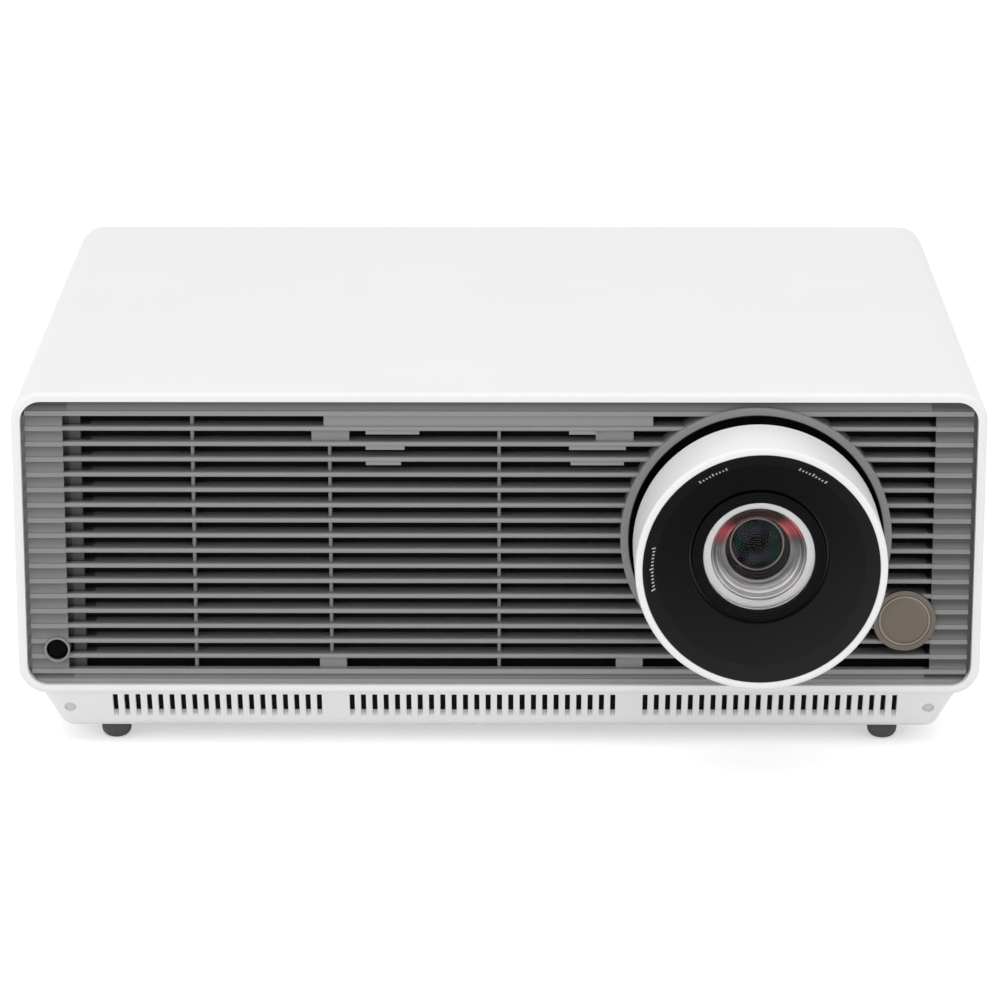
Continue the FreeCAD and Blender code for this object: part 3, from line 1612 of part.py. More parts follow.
def rear_panel():
    """Dark rear plate with socket cut-outs, exhaust louvres and joystick hole."""
    inset = panel_border - panel_overlap
    s0, s1 = panel_setback, panel_setback + panel_thickness
    plate = rounded_plate(-half_width + inset, half_width - inset, shell_low_z + inset, top_z - inset,
                          panel_corner_radius, s0, s1)
    cuts = []
    clear = socket_wall + fit_gap
    sockets = ((hdmi_places, hdmi_mouth), (usb_places, usb_mouth), (network_places, network_mouth))
    for places, mouth in sockets:
        for x in places:
            half_w, half_h = mouth[0] / 2 + clear, mouth[1] / 2 + clear
            cuts.append(block(x - half_w, x + half_w, s0 - 1, s1 + 1, socket_z - half_h, socket_z + half_h))
    for x in jack_places:
        cuts.append(rod(jack_body + fit_gap, at(x, s0 - 1, socket_z), at(x, s1 + 1, socket_z)))
    half_w = inlet_mouth[0] / 2 + inlet_wall + fit_gap
    half_h = inlet_mouth[1] / 2 + inlet_wall + fit_gap
    cuts.append(rounded_plate(inlet_x - half_w, inlet_x + half_w, socket_z - half_h, socket_z + half_h,
                              inlet_corner, s0 - 1, s1 + 1))
    cuts.append(rod(stick_hole_radius, at(stick_x, s0 - 1, stick_z), at(stick_x, s1 + 1, stick_z)))
    low = socket_z + inlet_mouth[1] / 2 + exhaust_margin
    high = top_z - panel_border - exhaust_margin / 2
    for index in range(int((high - low) / exhaust_pitch)):
        z = low + index * exhaust_pitch
        cuts.append(block(exhaust_left, exhaust_right, s0 - 1, s1 + 1, z, z + exhaust_slot))
    plate = plate.cut(cuts)
    seam = low - panel_thickness - panel_seam_drop
    bottom = shell_low_z + inset
    lower = [plate.common(block(x0, x1, s0 - 1, s1 + 1, bottom, seam)) for x0, x1 in lower_plates()]
    plate = plate.cut([
        block(x0 - seat_gap, x1 + seat_gap, s0 - 1, s1 + 1, bottom - 1, seam + seat_gap)
        for x0, x1 in lower_plates()
    ])
    middle = s0 + panel_thickness / 2
    back = key_board_setback + board_thickness
    posts = [rod(key_post_radius, at(x, back, z), at(x, middle, z)) for x, z in key_post_places()]
    half = exhaust_rib_width / 2
    ribs = []
    for index in range(1, exhaust_ribs + 1):
        x = exhaust_left + index * (exhaust_right - exhaust_left) / (exhaust_ribs + 1)
        ribs.append(block(x - half, x + half, s0 - panel_thickness, middle, low - panel_thickness, high))
    return Part.makeCompound([plate.fuse(posts + ribs).removeSplitter()] + lower)


def lower_plates():
    """The mains plate and the three socket plates, as the X each one spans."""
    edge = half_width - panel_border + panel_overlap
    partings = [
        jack_places[-1] - socket_plate_reach,
        (jack_places[0] + network_places[-1]) / 2,
        (network_places[0] + usb_places[-1]) / 2,
        edge,
    ]
    plates = [(-edge, inlet_x + inlet_plate_reach)]
    for left, right in zip(partings, partings[1:]):
        plates.append((left + seat_gap / 2, right - seat_gap / 2))
    return plates


# ---- joystick ----
def key_post_places():
    """Posts that hold the joystick's board behind the rear panel."""
    reach = key_board_size / 2 - key_post_inset
    return [(stick_x - reach, stick_z - reach), (stick_x + reach, stick_z + reach)]


def gimbal_bore():
    """Inner radius of the gimbal ring, round the stick's ball."""
    return stick_ball_radius + 2 * slide_gap


def cup_bore():
    """Inner radius of the cup round the gimbal ring."""
    return gimbal_bore() + gimbal_wall + fit_gap


def stick_ring(outer, inner, s0, s1):
    """A tube about the stick's own axis."""
    return ring(outer, inner, at(stick_x, s0, stick_z), at(stick_x, s1, stick_z))


def stick_rod(radius, s0, s1):
    """A round bar on the stick's own axis."""
    return rod(radius, at(stick_x, s0, stick_z), at(stick_x, s1, stick_z))


def trunnions(radius, inner, outer, upright):
    """Two pins across the stick's pivot, one on each side."""
    pins = []
    for side in (-1, 1):
        ends = [side * inner, side * outer]
        if upright:
            pins.append(rod(radius, at(stick_x, stick_pivot_setback, stick_z + ends[0]),
                            at(stick_x, stick_pivot_setback, stick_z + ends[1])))
        else:
            pins.append(rod(radius, at(stick_x + ends[0], stick_pivot_setback, stick_z),
                            at(stick_x + ends[1], stick_pivot_setback, stick_z)))
    return pins


def key_board():
    """Small board with the cup that holds the joystick's gimbal."""
    half = key_board_size / 2
    s0 = key_board_setback
    back = s0 + board_thickness
    board = block(stick_x - half, stick_x + half, s0, back, stick_z - half, stick_z + half)
    outer = cup_bore() + gimbal_wall
    cup = stick_ring(outer, cup_bore(), back - board_thickness / 2,
                     stick_pivot_setback + gimbal_half_depth + cup_rise)
    return joined([board, cup]).cut(trunnions(trunnion_radius + seat_gap, cup_bore() - 1, outer + 1, False))


def joystick_gimbal():
    """Ring that lets the stick tilt up and down on two pins in the cup."""
    outer = gimbal_bore() + gimbal_wall
    body = stick_ring(outer, gimbal_bore(), stick_pivot_setback - gimbal_half_depth,
                      stick_pivot_setback + gimbal_half_depth)
    pins = trunnions(trunnion_radius, outer - gimbal_wall / 2, cup_bore() + gimbal_wall, False)
    return body.fuse(pins).cut(trunnions(trunnion_radius + seat_gap, gimbal_bore() - 1, outer + 1, True))


def joystick_stem():
    """Stick with its ball, which tilts left and right on two pins in the gimbal."""
    half = gimbal_half_depth + slide_gap
    ball = Part.makeSphere(stick_ball_radius, at(stick_x, stick_pivot_setback, stick_z))
    ball = ball.common(stick_rod(stick_ball_radius, stick_pivot_setback - half, stick_pivot_setback + half))
    stem = stick_rod(stick_radius, stick_pivot_setback, stick_pivot_setback + stick_length)
    pins = trunnions(trunnion_radius, stick_ball_radius / 2, gimbal_bore() + gimbal_wall, True)
    return joined([ball, stem] + pins)


def joystick_cap():
    """Domed cap that presses in on the stick."""
    front = stick_pivot_setback + cap_rise
    back = body_depth - cap_recess
    cap = stick_rod(stick_cap_radius, front, back)
    cap = cap.makeFillet(cap_edge, edges_at_setback(cap, back))
    deep = stick_pivot_setback + stick_length + stick_press + slide_gap
    return cap.cut(stick_rod(stick_radius + slide_gap, front - 1, deep))


# ---- feet, inserts, screws and filters ----
def foot_stem(x, setback):
    """Threaded stud of a screw foot, shown plain."""
    return rod(stem_radius, at(x, setback, foot_height - stem_socket),
               at(x, setback, foot_height - stem_socket + stem_length))


def foot_pad(x, setback, bored):
    """Rubber foot with a rounded lower edge."""
    top = foot_height - fit_gap if bored else foot_height
    pad = rod(foot_radius, at(x, setback, 0), at(x, setback, top))
    pad = pad.makeFillet(foot_edge_radius, edges_at_height(pad, 0))
    if not bored:
        return pad
    return pad.cut(rod(stem_radius + seat_gap, at(x, setback, foot_height - stem_socket),
                       at(x, setback, foot_height + 1)))


def left_foot_stem():
    """Stud of the left screw foot."""
    return foot_stem(*foot_places()[0])


def right_foot_stem():
    """Stud of the right screw foot."""
    return foot_stem(*foot_places()[1])


def left_foot_pad():
    """Knurled rubber knob of the left screw foot."""
    return foot_pad(*foot_places()[0], True)


def right_foot_pad():
    """Knurled rubber knob of the right screw foot."""
    return foot_pad(*foot_places()[1], True)


def rear_feet():
    """Two fixed rubber feet at the back."""
    return Part.makeCompound([foot_pad(x, rear_foot_setback, False) for x in (-foot_x, foot_x)])


def threaded_inserts():
    """Brass inserts: four for a ceiling mount and two for the screw feet."""
    shapes = [
        ring(insert_radius, insert_bore, at(x, s, foot_height), at(x, s, foot_height + insert_length))
        for x, s in mount_places()
    ]
    for x, s in foot_places():
        shapes.append(ring(nut_radius, stem_radius + slide_gap, at(x, s, floor_z),
                           at(x, s, floor_z + nut_length)))
    return Part.makeCompound(shapes)


def case_screws():
    """Six screws that hold the shell's posts to the tray."""
    screws = []
    for x, s in post_places():
        seat = floor_z + screw_seat
        low = seat - screw_head
        head = rod(screw_head_radius, at(x, s, low), at(x, s, seat))
        head = head.cut(rod(screw_socket_radius, at(x, s, low - 1), at(x, s, low + screw_socket)))
        shank = rod(screw_shank_radius, at(x, s, seat - screw_socket / 2), at(x, s, seat + screw_length))
        screws.append(head.fuse(shank))
    return Part.makeCompound(screws)


def dust_filters():
    """Thin dark mesh panels behind the side vents."""
    half_height = side_vent_height / 2 + filter_overlap
    panels = []
    for x0 in (-half_width + wall, half_width - wall - filter_thickness):
        panels.append(block(x0, x0 + filter_thickness, side_vent_start - filter_overlap,
                            side_vent_start + side_vent_run + filter_overlap,
                            grille_mid_z - half_height, grille_mid_z + half_height))
    return Part.makeCompound(panels)


PIECES = (
    upper_shell, base_tray, front_grille, rear_panel, dust_filters, ir_receiver_window, front_badge,
    case_screws, threaded_inserts, rear_feet, engine_housing, shift_rods_horizontal,
    shift_motor_horizontal, prism_block, light_tunnel, dmd_board, dmd_heatsink, laser_module,
    laser_heatsink, heat_pipes, phosphor_wheel_housing, fan_frame_left, fan_frame_right,
    power_supply_board, main_board, key_board, ac_inlet, hdmi_ports, usb_ports, network_ports,
    audio_jacks, horizontal_carriage, shift_rods_vertical, shift_motor_vertical, vertical_carriage,
    lens_tube, lens_hood, lens_dish, rear_lens_group, focus_motor, zoom_motor, focus_ring,
    front_lens_cell, front_lens_glass, zoom_ring, zoom_lens_cell, focus_pinion, zoom_pinion,
    shift_screw_horizontal, shift_screw_vertical, fan_rotor_left, fan_rotor_right, phosphor_wheel,
    joystick_gimbal, joystick_stem, joystick_cap, left_foot_stem, left_foot_pad, right_foot_stem,
    right_foot_pad,
)


def main():
    """Write one STEP file for each piece."""
    os.makedirs("parts", exist_ok=True)
    for piece in PIECES:
        piece().exportStep(os.path.join("parts", piece.__name__ + ".step"))


main()
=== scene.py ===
"""Home projector: finishes, fine pieces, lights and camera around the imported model."""

import json
import math

import bmesh
import bpy
from mathutils import Matrix, Vector


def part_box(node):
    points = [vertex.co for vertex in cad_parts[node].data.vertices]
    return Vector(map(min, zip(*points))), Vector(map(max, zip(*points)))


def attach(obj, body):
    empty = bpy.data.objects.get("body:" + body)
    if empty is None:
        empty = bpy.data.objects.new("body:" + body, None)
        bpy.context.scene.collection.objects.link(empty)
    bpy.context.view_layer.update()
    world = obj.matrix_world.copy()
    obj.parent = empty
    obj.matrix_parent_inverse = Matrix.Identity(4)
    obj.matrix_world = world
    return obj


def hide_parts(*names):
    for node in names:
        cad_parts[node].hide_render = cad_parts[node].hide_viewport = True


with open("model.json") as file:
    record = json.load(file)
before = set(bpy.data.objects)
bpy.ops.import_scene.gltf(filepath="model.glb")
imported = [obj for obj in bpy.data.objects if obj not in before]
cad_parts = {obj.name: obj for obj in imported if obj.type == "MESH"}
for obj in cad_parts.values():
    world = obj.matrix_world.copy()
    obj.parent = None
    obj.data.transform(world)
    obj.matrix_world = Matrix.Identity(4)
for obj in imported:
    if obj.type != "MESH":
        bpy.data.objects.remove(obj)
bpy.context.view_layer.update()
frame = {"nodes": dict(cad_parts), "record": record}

MM = 0.001

# ---- camera and room ----
CAMERA_PLACE = (0.005778, -1.72425, 0.574299)
# degrees down and to the right
CAMERA_PITCH = 16.471
CAMERA_YAW = -0.194
SENSOR_WIDTH = 36.0
# focal length in sensor widths
FOCAL_WIDTHS = 4.3851
FLOOR_SIZE = 14.0
FLOOR_GLOW = 0.45
WORLD_LIGHT = 0.62
WHITE_RAYS = ("Is Camera Ray", "Is Glossy Ray", "Is Transmission Ray")
LAMP_TARGET = (0.0, 0.0, 0.07)
# name, place, width, height, watts
LAMPS = (
    ("overhead_box", (0.0, -0.25, 1.9), 2.2, 2.2, 13.0),
    ("front_left_box", (-1.5, -1.9, 0.9), 1.6, 1.4, 9.0),
    ("side_left_box", (-2.1, -0.9, 0.5), 1.2, 1.0, 5.0),
    ("side_right_box", (2.2, -0.5, 0.5), 1.2, 1.0, 2.4),
    ("front_right_box", (1.5, -1.9, 0.9), 1.6, 1.4, 8.4),
)


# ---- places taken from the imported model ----
def middles(low, high):
    return [(a + b) / 2 for a, b in zip(low, high)]


LENS_X, _, LENS_Z = middles(*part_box("lens_hood"))
tray_low, tray_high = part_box("base_tray")
SLOPE = math.radians(25.0)
SPLIT_Z = tray_low.z + 17.0 * MM
GRILLE_FRONT = tray_low.y
COLLAR_BORE = 48.6 * MM


# ---- finishes ----
class Wire:
    """A value inside a finish; a sum written on it adds its Math node."""

    def __init__(self, finish, socket):
        self.finish = finish
        self.socket = socket

    def sum(self, operation, first, second=0.0):
        return self.finish.node("Math", {"operation": operation}, {0: first, 1: second})

    def __add__(self, other):
        return self.sum("ADD", self, other)

    def __radd__(self, other):
        return self.sum("ADD", other, self)

    def __sub__(self, other):
        return self.sum("SUBTRACT", self, other)

    def __rsub__(self, other):
        return self.sum("SUBTRACT", other, self)

    def __mul__(self, other):
        return self.sum("MULTIPLY", self, other)

    def __truediv__(self, other):
        return self.sum("DIVIDE", self, other)

    def __pow__(self, other):
        return self.sum("POWER", self, other)

    def sine(self):
        return self.sum("SINE", self)

    def size(self):
        return self.sum("ABSOLUTE", self)

    def clipped(self):
        return self.finish.node("Clamp", {}, {"Value": self})

    def past(self, limit, rise):
        """A mask that climbs from 0 to 1 above a limit."""
        return ((self - limit) * rise).clipped()

    def within(self, limit, rise):
        """A mask that climbs from 0 to 1 below a limit."""
        return ((limit - self) * rise).clipped()


class Finish:
    """One surface finish: its shader, its nodes and the values that feed it."""

    def __init__(self, name, **sockets):
        self.material = bpy.data.materials.new(name)
        self.material.use_nodes = True
        self.tree = self.material.node_tree
        self.shader = self.tree.nodes["Principled BSDF"]
        self.place = self.node("TexCoord", out="Object")
        for socket, value in sockets.items():
            self.shader.inputs[socket.replace("_", " ")].default_value = value

    def node(self, kind, settings=None, sockets=None, out=0):
        made = self.tree.nodes.new("ShaderNode" + kind)
        for key, value in (settings or {}).items():
            setattr(made, key, value)
        for key, value in (sockets or {}).items():
            if isinstance(value, Wire):
                self.tree.links.new(value.socket, made.inputs[key])
            else:
                made.inputs[key].default_value = value
        return Wire(self, made.outputs[out])

    def feed(self, socket, wire):
        self.tree.links.new(wire.socket, self.shader.inputs[socket])

    def axes(self):
        split = self.node("SeparateXYZ", {}, {0: self.place})
        return [Wire(self, out) for out in split.socket.node.outputs]

    def noise(self, scale, detail, place=None):
        return self.node("TexNoise", {}, {
            "Vector": place or self.place, "Scale": scale, "Detail": detail,
        })

    def stretched(self, x, y, z):
        return self.node("Mapping", {}, {"Vector": self.place, "Scale": (x, y, z)})

    def mix(self, mask, first, second):
        return self.node("Mix", {"data_type": "RGBA"}, {0: mask, 6: first, 7: second}, out=2)

    def relief(self, height, depth, strength):
        bump = self.node("Bump", {}, {"Height": height, "Distance": depth, "Strength": strength})
        self.feed("Normal", bump)


def shade(colour, factor):
    return tuple(min(1.0, part * factor) for part in colour[:3]) + (1.0,)


def grey(value):
    return (value, value, value, 1.0)


def moulded_skin(finish, colour, roughness, grain=1500.0, depth=0.03):
    """Spark-eroded grain, faint flow marks and uneven gloss; the mottled colour comes back."""
    flow = finish.noise(14.0, 3.0)
    grains = finish.noise(grain, 3.0)
    finish.feed("Roughness", (roughness - 0.08) + flow * 0.06 + grains * 0.1)
    finish.relief(grains, depth * MM, 0.6)
    return finish.mix(flow * 0.75 + grains * 0.25, shade(colour, 0.97), shade(colour, 1.03))


def moulded(name, colour, roughness, grain=1500.0, depth=0.03, **sockets):
    """Plain moulded plastic."""
    finish = Finish(name, **sockets)
    finish.feed("Base Color", moulded_skin(finish, colour, roughness, grain, depth))
    return finish


def metal(name, colour, roughness, stretch=(1.0, 1.0, 1.0), depth=0.01, scale=900.0):
    """Bare metal: fine tool marks along one direction and patchy shine."""
    finish = Finish(name, Metallic=1.0)
    marks = finish.noise(scale, 4.0, finish.stretched(*stretch))
    patches = finish.noise(30.0, 3.0)
    finish.feed("Base Color", finish.mix(
        marks * 0.5 + patches * 0.5, shade(colour, 0.92), shade(colour, 1.08)))
    finish.feed("Roughness", (roughness - 0.09) + marks * 0.1 + patches * 0.08)
    finish.relief(marks, depth * MM, 0.5)
    return finish


def round_lens(finish):
    """Offsets from the lens axis, to the right and up, and the distance from it."""
    x, _, z = finish.axes()
    across, up = x - LENS_X, z - LENS_Z
    return across, up, (across * across + up * up) ** 0.5


def louvre_grey():
    """Moulded warm grey, with painted shade in the grooves of the side borders (more on the right),
    along the top band under the bezel, on the left end block and in the collar's bore.
    """
    finish = Finish("grille_warm_grey")
    plain = moulded_skin(finish, (0.268, 0.263, 0.260), 0.46)
    x, y, z = finish.axes()
    sharp = 2000.0
    # painted shade: recessed faces of the side borders and the top band, darker on the right; the
    # left end block and the side borders a little darker
    behind = y.past(GRILLE_FRONT + 0.7 * MM, 1400.0)
    beside = x.size().past(163.5 * MM, sharp)
    above = z.past(133.5 * MM, sharp)
    right = x.past(100.0 * MM, sharp)
    block = y.past(GRILLE_FRONT + 3.2 * MM, 1000.0) * x.within(-155.0 * MM, sharp)
    grooves = behind * (beside * (right * 0.36 + 0.36) + above)
    grille_painted_shade = (grooves + block * 0.75 + beside * 0.09).clipped()
    # painted shade: everything within the collar's bore turns near black
    bore_painted_shade = round_lens(finish)[2].within(COLLAR_BORE + 0.4 * MM, 4000.0)
    finish.feed("Base Color", finish.mix(bore_painted_shade, finish.mix(grille_painted_shade, plain, grey(0.036)), grey(0.006)))
    return finish


def dusty_funnel():
    """Matt black with a faint grain; painted light greys the funnel's lower half and its steep edge.
    """
    finish = Finish("dish_black_matt", IOR=1.16)
    across, up, reach = round_lens(finish)
    grains = finish.noise(1500.0, 3.0)
    # painted light: lighter towards the lower right, where the funnel faces up to the lamps, and on
    # its steep edge
    lower = ((across * 0.5 - up) * 11.0 + 0.5).clipped()
    edge = reach.past(39.0 * MM, 2000.0)
    grain_and_painted_light = (lower * 0.75 + edge * 0.3 + grains * 0.06).clipped()
    finish.feed("Base Color", finish.mix(grain_and_painted_light, grey(0.0045), grey(0.018)))
    finish.feed("Roughness", grains * 0.1 + 0.57)
    finish.relief(grains, 0.03 * MM, 0.6)
    return finish


WHITE = (0.86, 0.86, 0.862)
finishes = {
    "white_shell": moulded("shell_white", WHITE, 0.42),
    "white_base": moulded("base_white", WHITE, 0.45),
    "hood_white": moulded("hood_white_satin", WHITE, 0.36, grain=1900.0, depth=0.02),
    "grille_grey": louvre_grey(),
    "panel_grey": moulded("panel_dark_grey", grey(0.16), 0.5),
    # near black; also the sheets behind the louvres, the base's slots and the collar, which are
    # painted shade for the dark inside
    "filter_mesh": moulded("black_foam_and_painted_shade", grey(0.010), 0.9, grain=700.0, depth=0.4, IOR=1.2),
    "receiver_black": moulded("receiver_smoke", (0.0008, 0.0008, 0.001), 0.2, depth=0.0, IOR=1.12),
    "badge_bronze": metal("badge_champagne", (0.142, 0.122, 0.104), 0.42),
    "screw_steel": metal("screw_zinc", (0.62, 0.62, 0.63), 0.3),
    "insert_brass": metal("insert_brass_turned", (0.78, 0.60, 0.30), 0.28),
    "foot_rubber": moulded("foot_soft_rubber", grey(0.062), 0.7, grain=900.0, depth=0.05),
    "cast_alloy": metal("engine_die_cast", (0.52, 0.53, 0.54), 0.52, depth=0.08, scale=500.0),
    "rod_steel": metal("rod_ground_steel", (0.66, 0.66, 0.67), 0.16, (1.0, 20.0, 20.0)),
    "motor_steel": metal("motor_can_steel", (0.60, 0.60, 0.61), 0.3),
    "prism_glass": moulded("prism_block_glass", (0.55, 0.62, 0.66), 0.08, depth=0.0),
    "lens_glass": moulded("lens_coated_glass", (0.02, 0.015, 0.03), 0.05, depth=0.0),
    "board_green": moulded("board_green_mask", (0.01, 0.12, 0.05), 0.35),
    "supply_board": moulded("supply_board_tan", (0.36, 0.24, 0.10), 0.5),
    "sink_alloy": metal("fin_aluminium", (0.68, 0.69, 0.70), 0.34),
    "laser_alloy": metal("laser_block_alloy", (0.60, 0.61, 0.63), 0.38),
    "pipe_copper": metal("heat_pipe_copper", (0.72, 0.36, 0.22), 0.26),
    "fan_black": moulded("fan_glass_filled", grey(0.025), 0.42),
    "inlet_black": moulded("inlet_black_nylon", grey(0.02), 0.4),
    "socket_metal": metal("socket_tin_plate", (0.66, 0.67, 0.68), 0.24),
    "jack_black": moulded("jack_black_nylon", grey(0.022), 0.35),
    "carriage_black": moulded("carriage_black_resin", grey(0.03), 0.45),
    "tube_black": moulded("tube_black_anodised", grey(0.02), 0.38),
    "dish_black": dusty_funnel(),
    "gear_black": moulded("gear_black_acetal", grey(0.035), 0.36),
    "gear_white": moulded("gear_white_acetal", grey(0.74), 0.36),
    "cell_alloy": moulded("cell_black_anodised", (0.004, 0.0045, 0.006), 0.45, IOR=1.18),
    "cell_inner": moulded("cell_inner_black", grey(0.02), 0.4),
    "wheel_alloy": metal("wheel_alloy_plain", (0.74, 0.75, 0.76), 0.22),
    "stick_nylon": moulded("stick_nylon_black", grey(0.03), 0.4),
    "stick_black": moulded("stick_soft_black", grey(0.02), 0.5),
    "stem_steel": metal("stem_zinc_steel", (0.62, 0.62, 0.62), 0.3),
}

node_slots = {part["node"]: part["material_slot"] for part in frame["record"].get("subparts", [])}
for node, piece in frame["nodes"].items():
    piece.data.materials.clear()
    piece.data.materials.append(finishes[node_slots[node]].material)


def silver_sleeve():
    """Turned aluminium with fine lathe rings about the lens axis."""
    finish = Finish("sleeve_turned_silver", Metallic=0.9)
    rings = (round_lens(finish)[2] * 9000.0).sine() * 0.5 + 0.5
    patches = finish.noise(60.0, 3.0)
    finish.feed("Base Color", finish.mix(
        rings * 0.4 + patches * 0.6, (0.38, 0.375, 0.37, 1), (0.52, 0.515, 0.51, 1)))
    finish.feed("Roughness", rings * 0.08 + patches * 0.1 + 0.3)
    finish.relief(rings, 0.01 * MM, 0.4)
    return finish


def red_coated_cone():
    """Stepped cone: bare alloy low down, painted shade at its sides and inner step, painted dark red
    shade and reflection above, and two painted red reflections of the lamps.
    """
    finish = Finish("cone_painted_shade_and_reflections", Metallic=0.4)
    across, up, reach = round_lens(finish)
    patches = finish.noise(90.0, 3.0)
    bare = finish.mix(patches, (0.52, 0.51, 0.52, 1), (0.68, 0.665, 0.675, 1))
    # painted shade: the cone's sides and its inner step darkened
    sides_painted_shade = (up.past(-10.0 * MM, 105.0) + reach.within(15.2 * MM, 800.0) * 0.8).clipped()
    bare = finish.mix(sides_painted_shade, bare, (0.2, 0.195, 0.2, 1))
    # painted shade and painted red reflection: dark red-brown over the upper part
    upper_painted_shade = (up / reach + patches * 0.24).past(0.16, 2.2)
    colour = finish.mix(upper_painted_shade, bare, (0.045, 0.014, 0.014, 1))
    # painted reflections: two red lobes where the lamps would shine, upper right and upper left
    for angle, strength in ((38.0, 0.95), (149.0, 0.85)):
        way = across * math.cos(math.radians(angle)) + up * math.sin(math.radians(angle))
        lamp_painted_reflection = (way / reach).past(0.92, 12.5)
        colour = finish.mix(lamp_painted_reflection * lamp_painted_reflection * strength, colour, (0.56, 0.10, 0.115, 1))
    finish.feed("Base Color", colour)
    rings = (reach * 7000.0).sine() * 0.5 + 0.5
    finish.feed("Roughness", rings * 0.06 + patches * 0.08 + 0.24)
    finish.relief(rings, 0.01 * MM, 0.4)
    return finish


def clear_glass():
    """Bloomed optical glass with a faint haze and wiping marks in its gloss."""
    finish = Finish("front_glass_bloomed", Transmission_Weight=1.0, IOR=1.13)
    haze = finish.noise(55.0, 4.0)
    wiped = finish.noise(240.0, 3.0, finish.stretched(1.0, 1.0, 6.0))
    finish.feed("Base Color", finish.mix(haze, (0.975, 0.98, 0.985, 1), (1, 1, 1, 1)))
    finish.feed("Roughness", haze * 0.01 + wiped * 0.008)
    return finish


def mottled(name, first, second, scale, roughness, rise=0.1, stretch=(1.0, 1.0, 1.0), detail=2.0,
            **sockets):
    """Two tones and an uneven gloss that vary together."""
    finish = Finish(name, **sockets)
    patches = finish.noise(scale, detail, finish.stretched(*stretch))
    finish.feed("Base Color", finish.mix(patches, first, second))
    finish.feed("Roughness", patches * rise + roughness)
    return finish


def sleeve_shrink(name, colour, roughness):
    """Shrink sleeve or winding tape."""
    return mottled(name, shade(colour, 0.85), shade(colour, 1.15), 70.0, roughness)


def dark_coated():
    """Dark inner element: faint green, violet and blue coating over black, with painted shade making
    the middle darkest.
    """
    finish = Finish("throat_glass_coated", IOR=1.08)
    reach = round_lens(finish)[2]
    green = finish.noise(210.0, 1.0)
    blue = finish.noise(260.0, 1.0, finish.stretched(1.0, 1.0, 0.7))
    hue = finish.mix(green.past(0.42, 4.0), (0.002, 0.002, 0.003, 1), (0.004, 0.022, 0.014, 1))
    hue = finish.mix(blue.past(0.5, 5.0), hue, (0.026, 0.016, 0.036, 1))
    # painted shade: the middle near black, for the lens's dark depth
    core = reach.within(5.0 * MM, 400.0)
    finish.feed("Base Color", finish.mix(core, hue, (0.0008, 0.0012, 0.0008, 1)))
    finish.feed("Roughness", green * 0.05 + 0.12)
    return finish


bright_sleeve = silver_sleeve()
# painted shade and painted red reflections on the throat's cone and lip
cone_painted_light = red_coated_cone()
ink_white = mottled("ink_pad_print", grey(0.60), grey(0.76), 2500.0, 0.45, 0.15)
bloomed_glass = clear_glass()
deep_coated = dark_coated()
# flat black of the deep throat, a little brown where light reaches it
throat_black = mottled("throat_flat_black", (0.008, 0.009, 0.008, 1), (0.030, 0.024, 0.022, 1),
                       180.0, 0.5, IOR=1.25)
rim_alloy = metal("throat_rim_rosy", (0.26, 0.19, 0.19), 0.36)
# the bead's metal is a brighter copy of the badge's: a painted highlight
bead_painted_highlight = metal("badge_bead_painted_highlight", (0.225, 0.198, 0.162), 0.36)
# gold-plated springs with rub marks along them
contact_gold = mottled("contact_gold_flash", (0.83, 0.60, 0.24, 1), (0.93, 0.74, 0.40, 1),
                       700.0, 0.2, 0.14, (4.0, 1.0, 4.0), 3.0, Metallic=1.0)
can_black = sleeve_shrink("can_sleeve_black", (0.02, 0.02, 0.024), 0.3)
can_top = metal("can_top_aluminium", (0.70, 0.71, 0.72), 0.3)
ferrite_grey = moulded("ferrite_grey", (0.055, 0.055, 0.06), 0.55)
tape_yellow = sleeve_shrink("winding_tape_yellow", (0.62, 0.45, 0.08), 0.34)
terminal_green = moulded("terminal_green", (0.03, 0.22, 0.09), 0.42)
tongue_black = moulded("socket_tongue_black", grey(0.02), 0.42)
tongue_blue = moulded("socket_tongue_blue", (0.03, 0.12, 0.42), 0.42)
# grey darker than the white base: painted shade for the dimples
dimple_painted_shade = moulded("dimple_painted_shade_grey", grey(0.62), 0.55)


# ---- modelling ----
def clear_selection():
    if bpy.context.object and bpy.context.object.mode != "OBJECT":
        bpy.ops.object.mode_set(mode="OBJECT")
    bpy.ops.object.select_all(action="DESELECT")


def settle():
    """Puts the place of the active piece into its mesh."""
    bpy.ops.object.transform_apply(location=True, rotation=True, scale=True)


def close_mesh():
    bpy.ops.mesh.select_all(action="SELECT")
    bpy.ops.mesh.remove_doubles(threshold=1e-7)
    bpy.ops.mesh.normals_make_consistent(inside=False)
    bpy.ops.object.mode_set(mode="OBJECT")


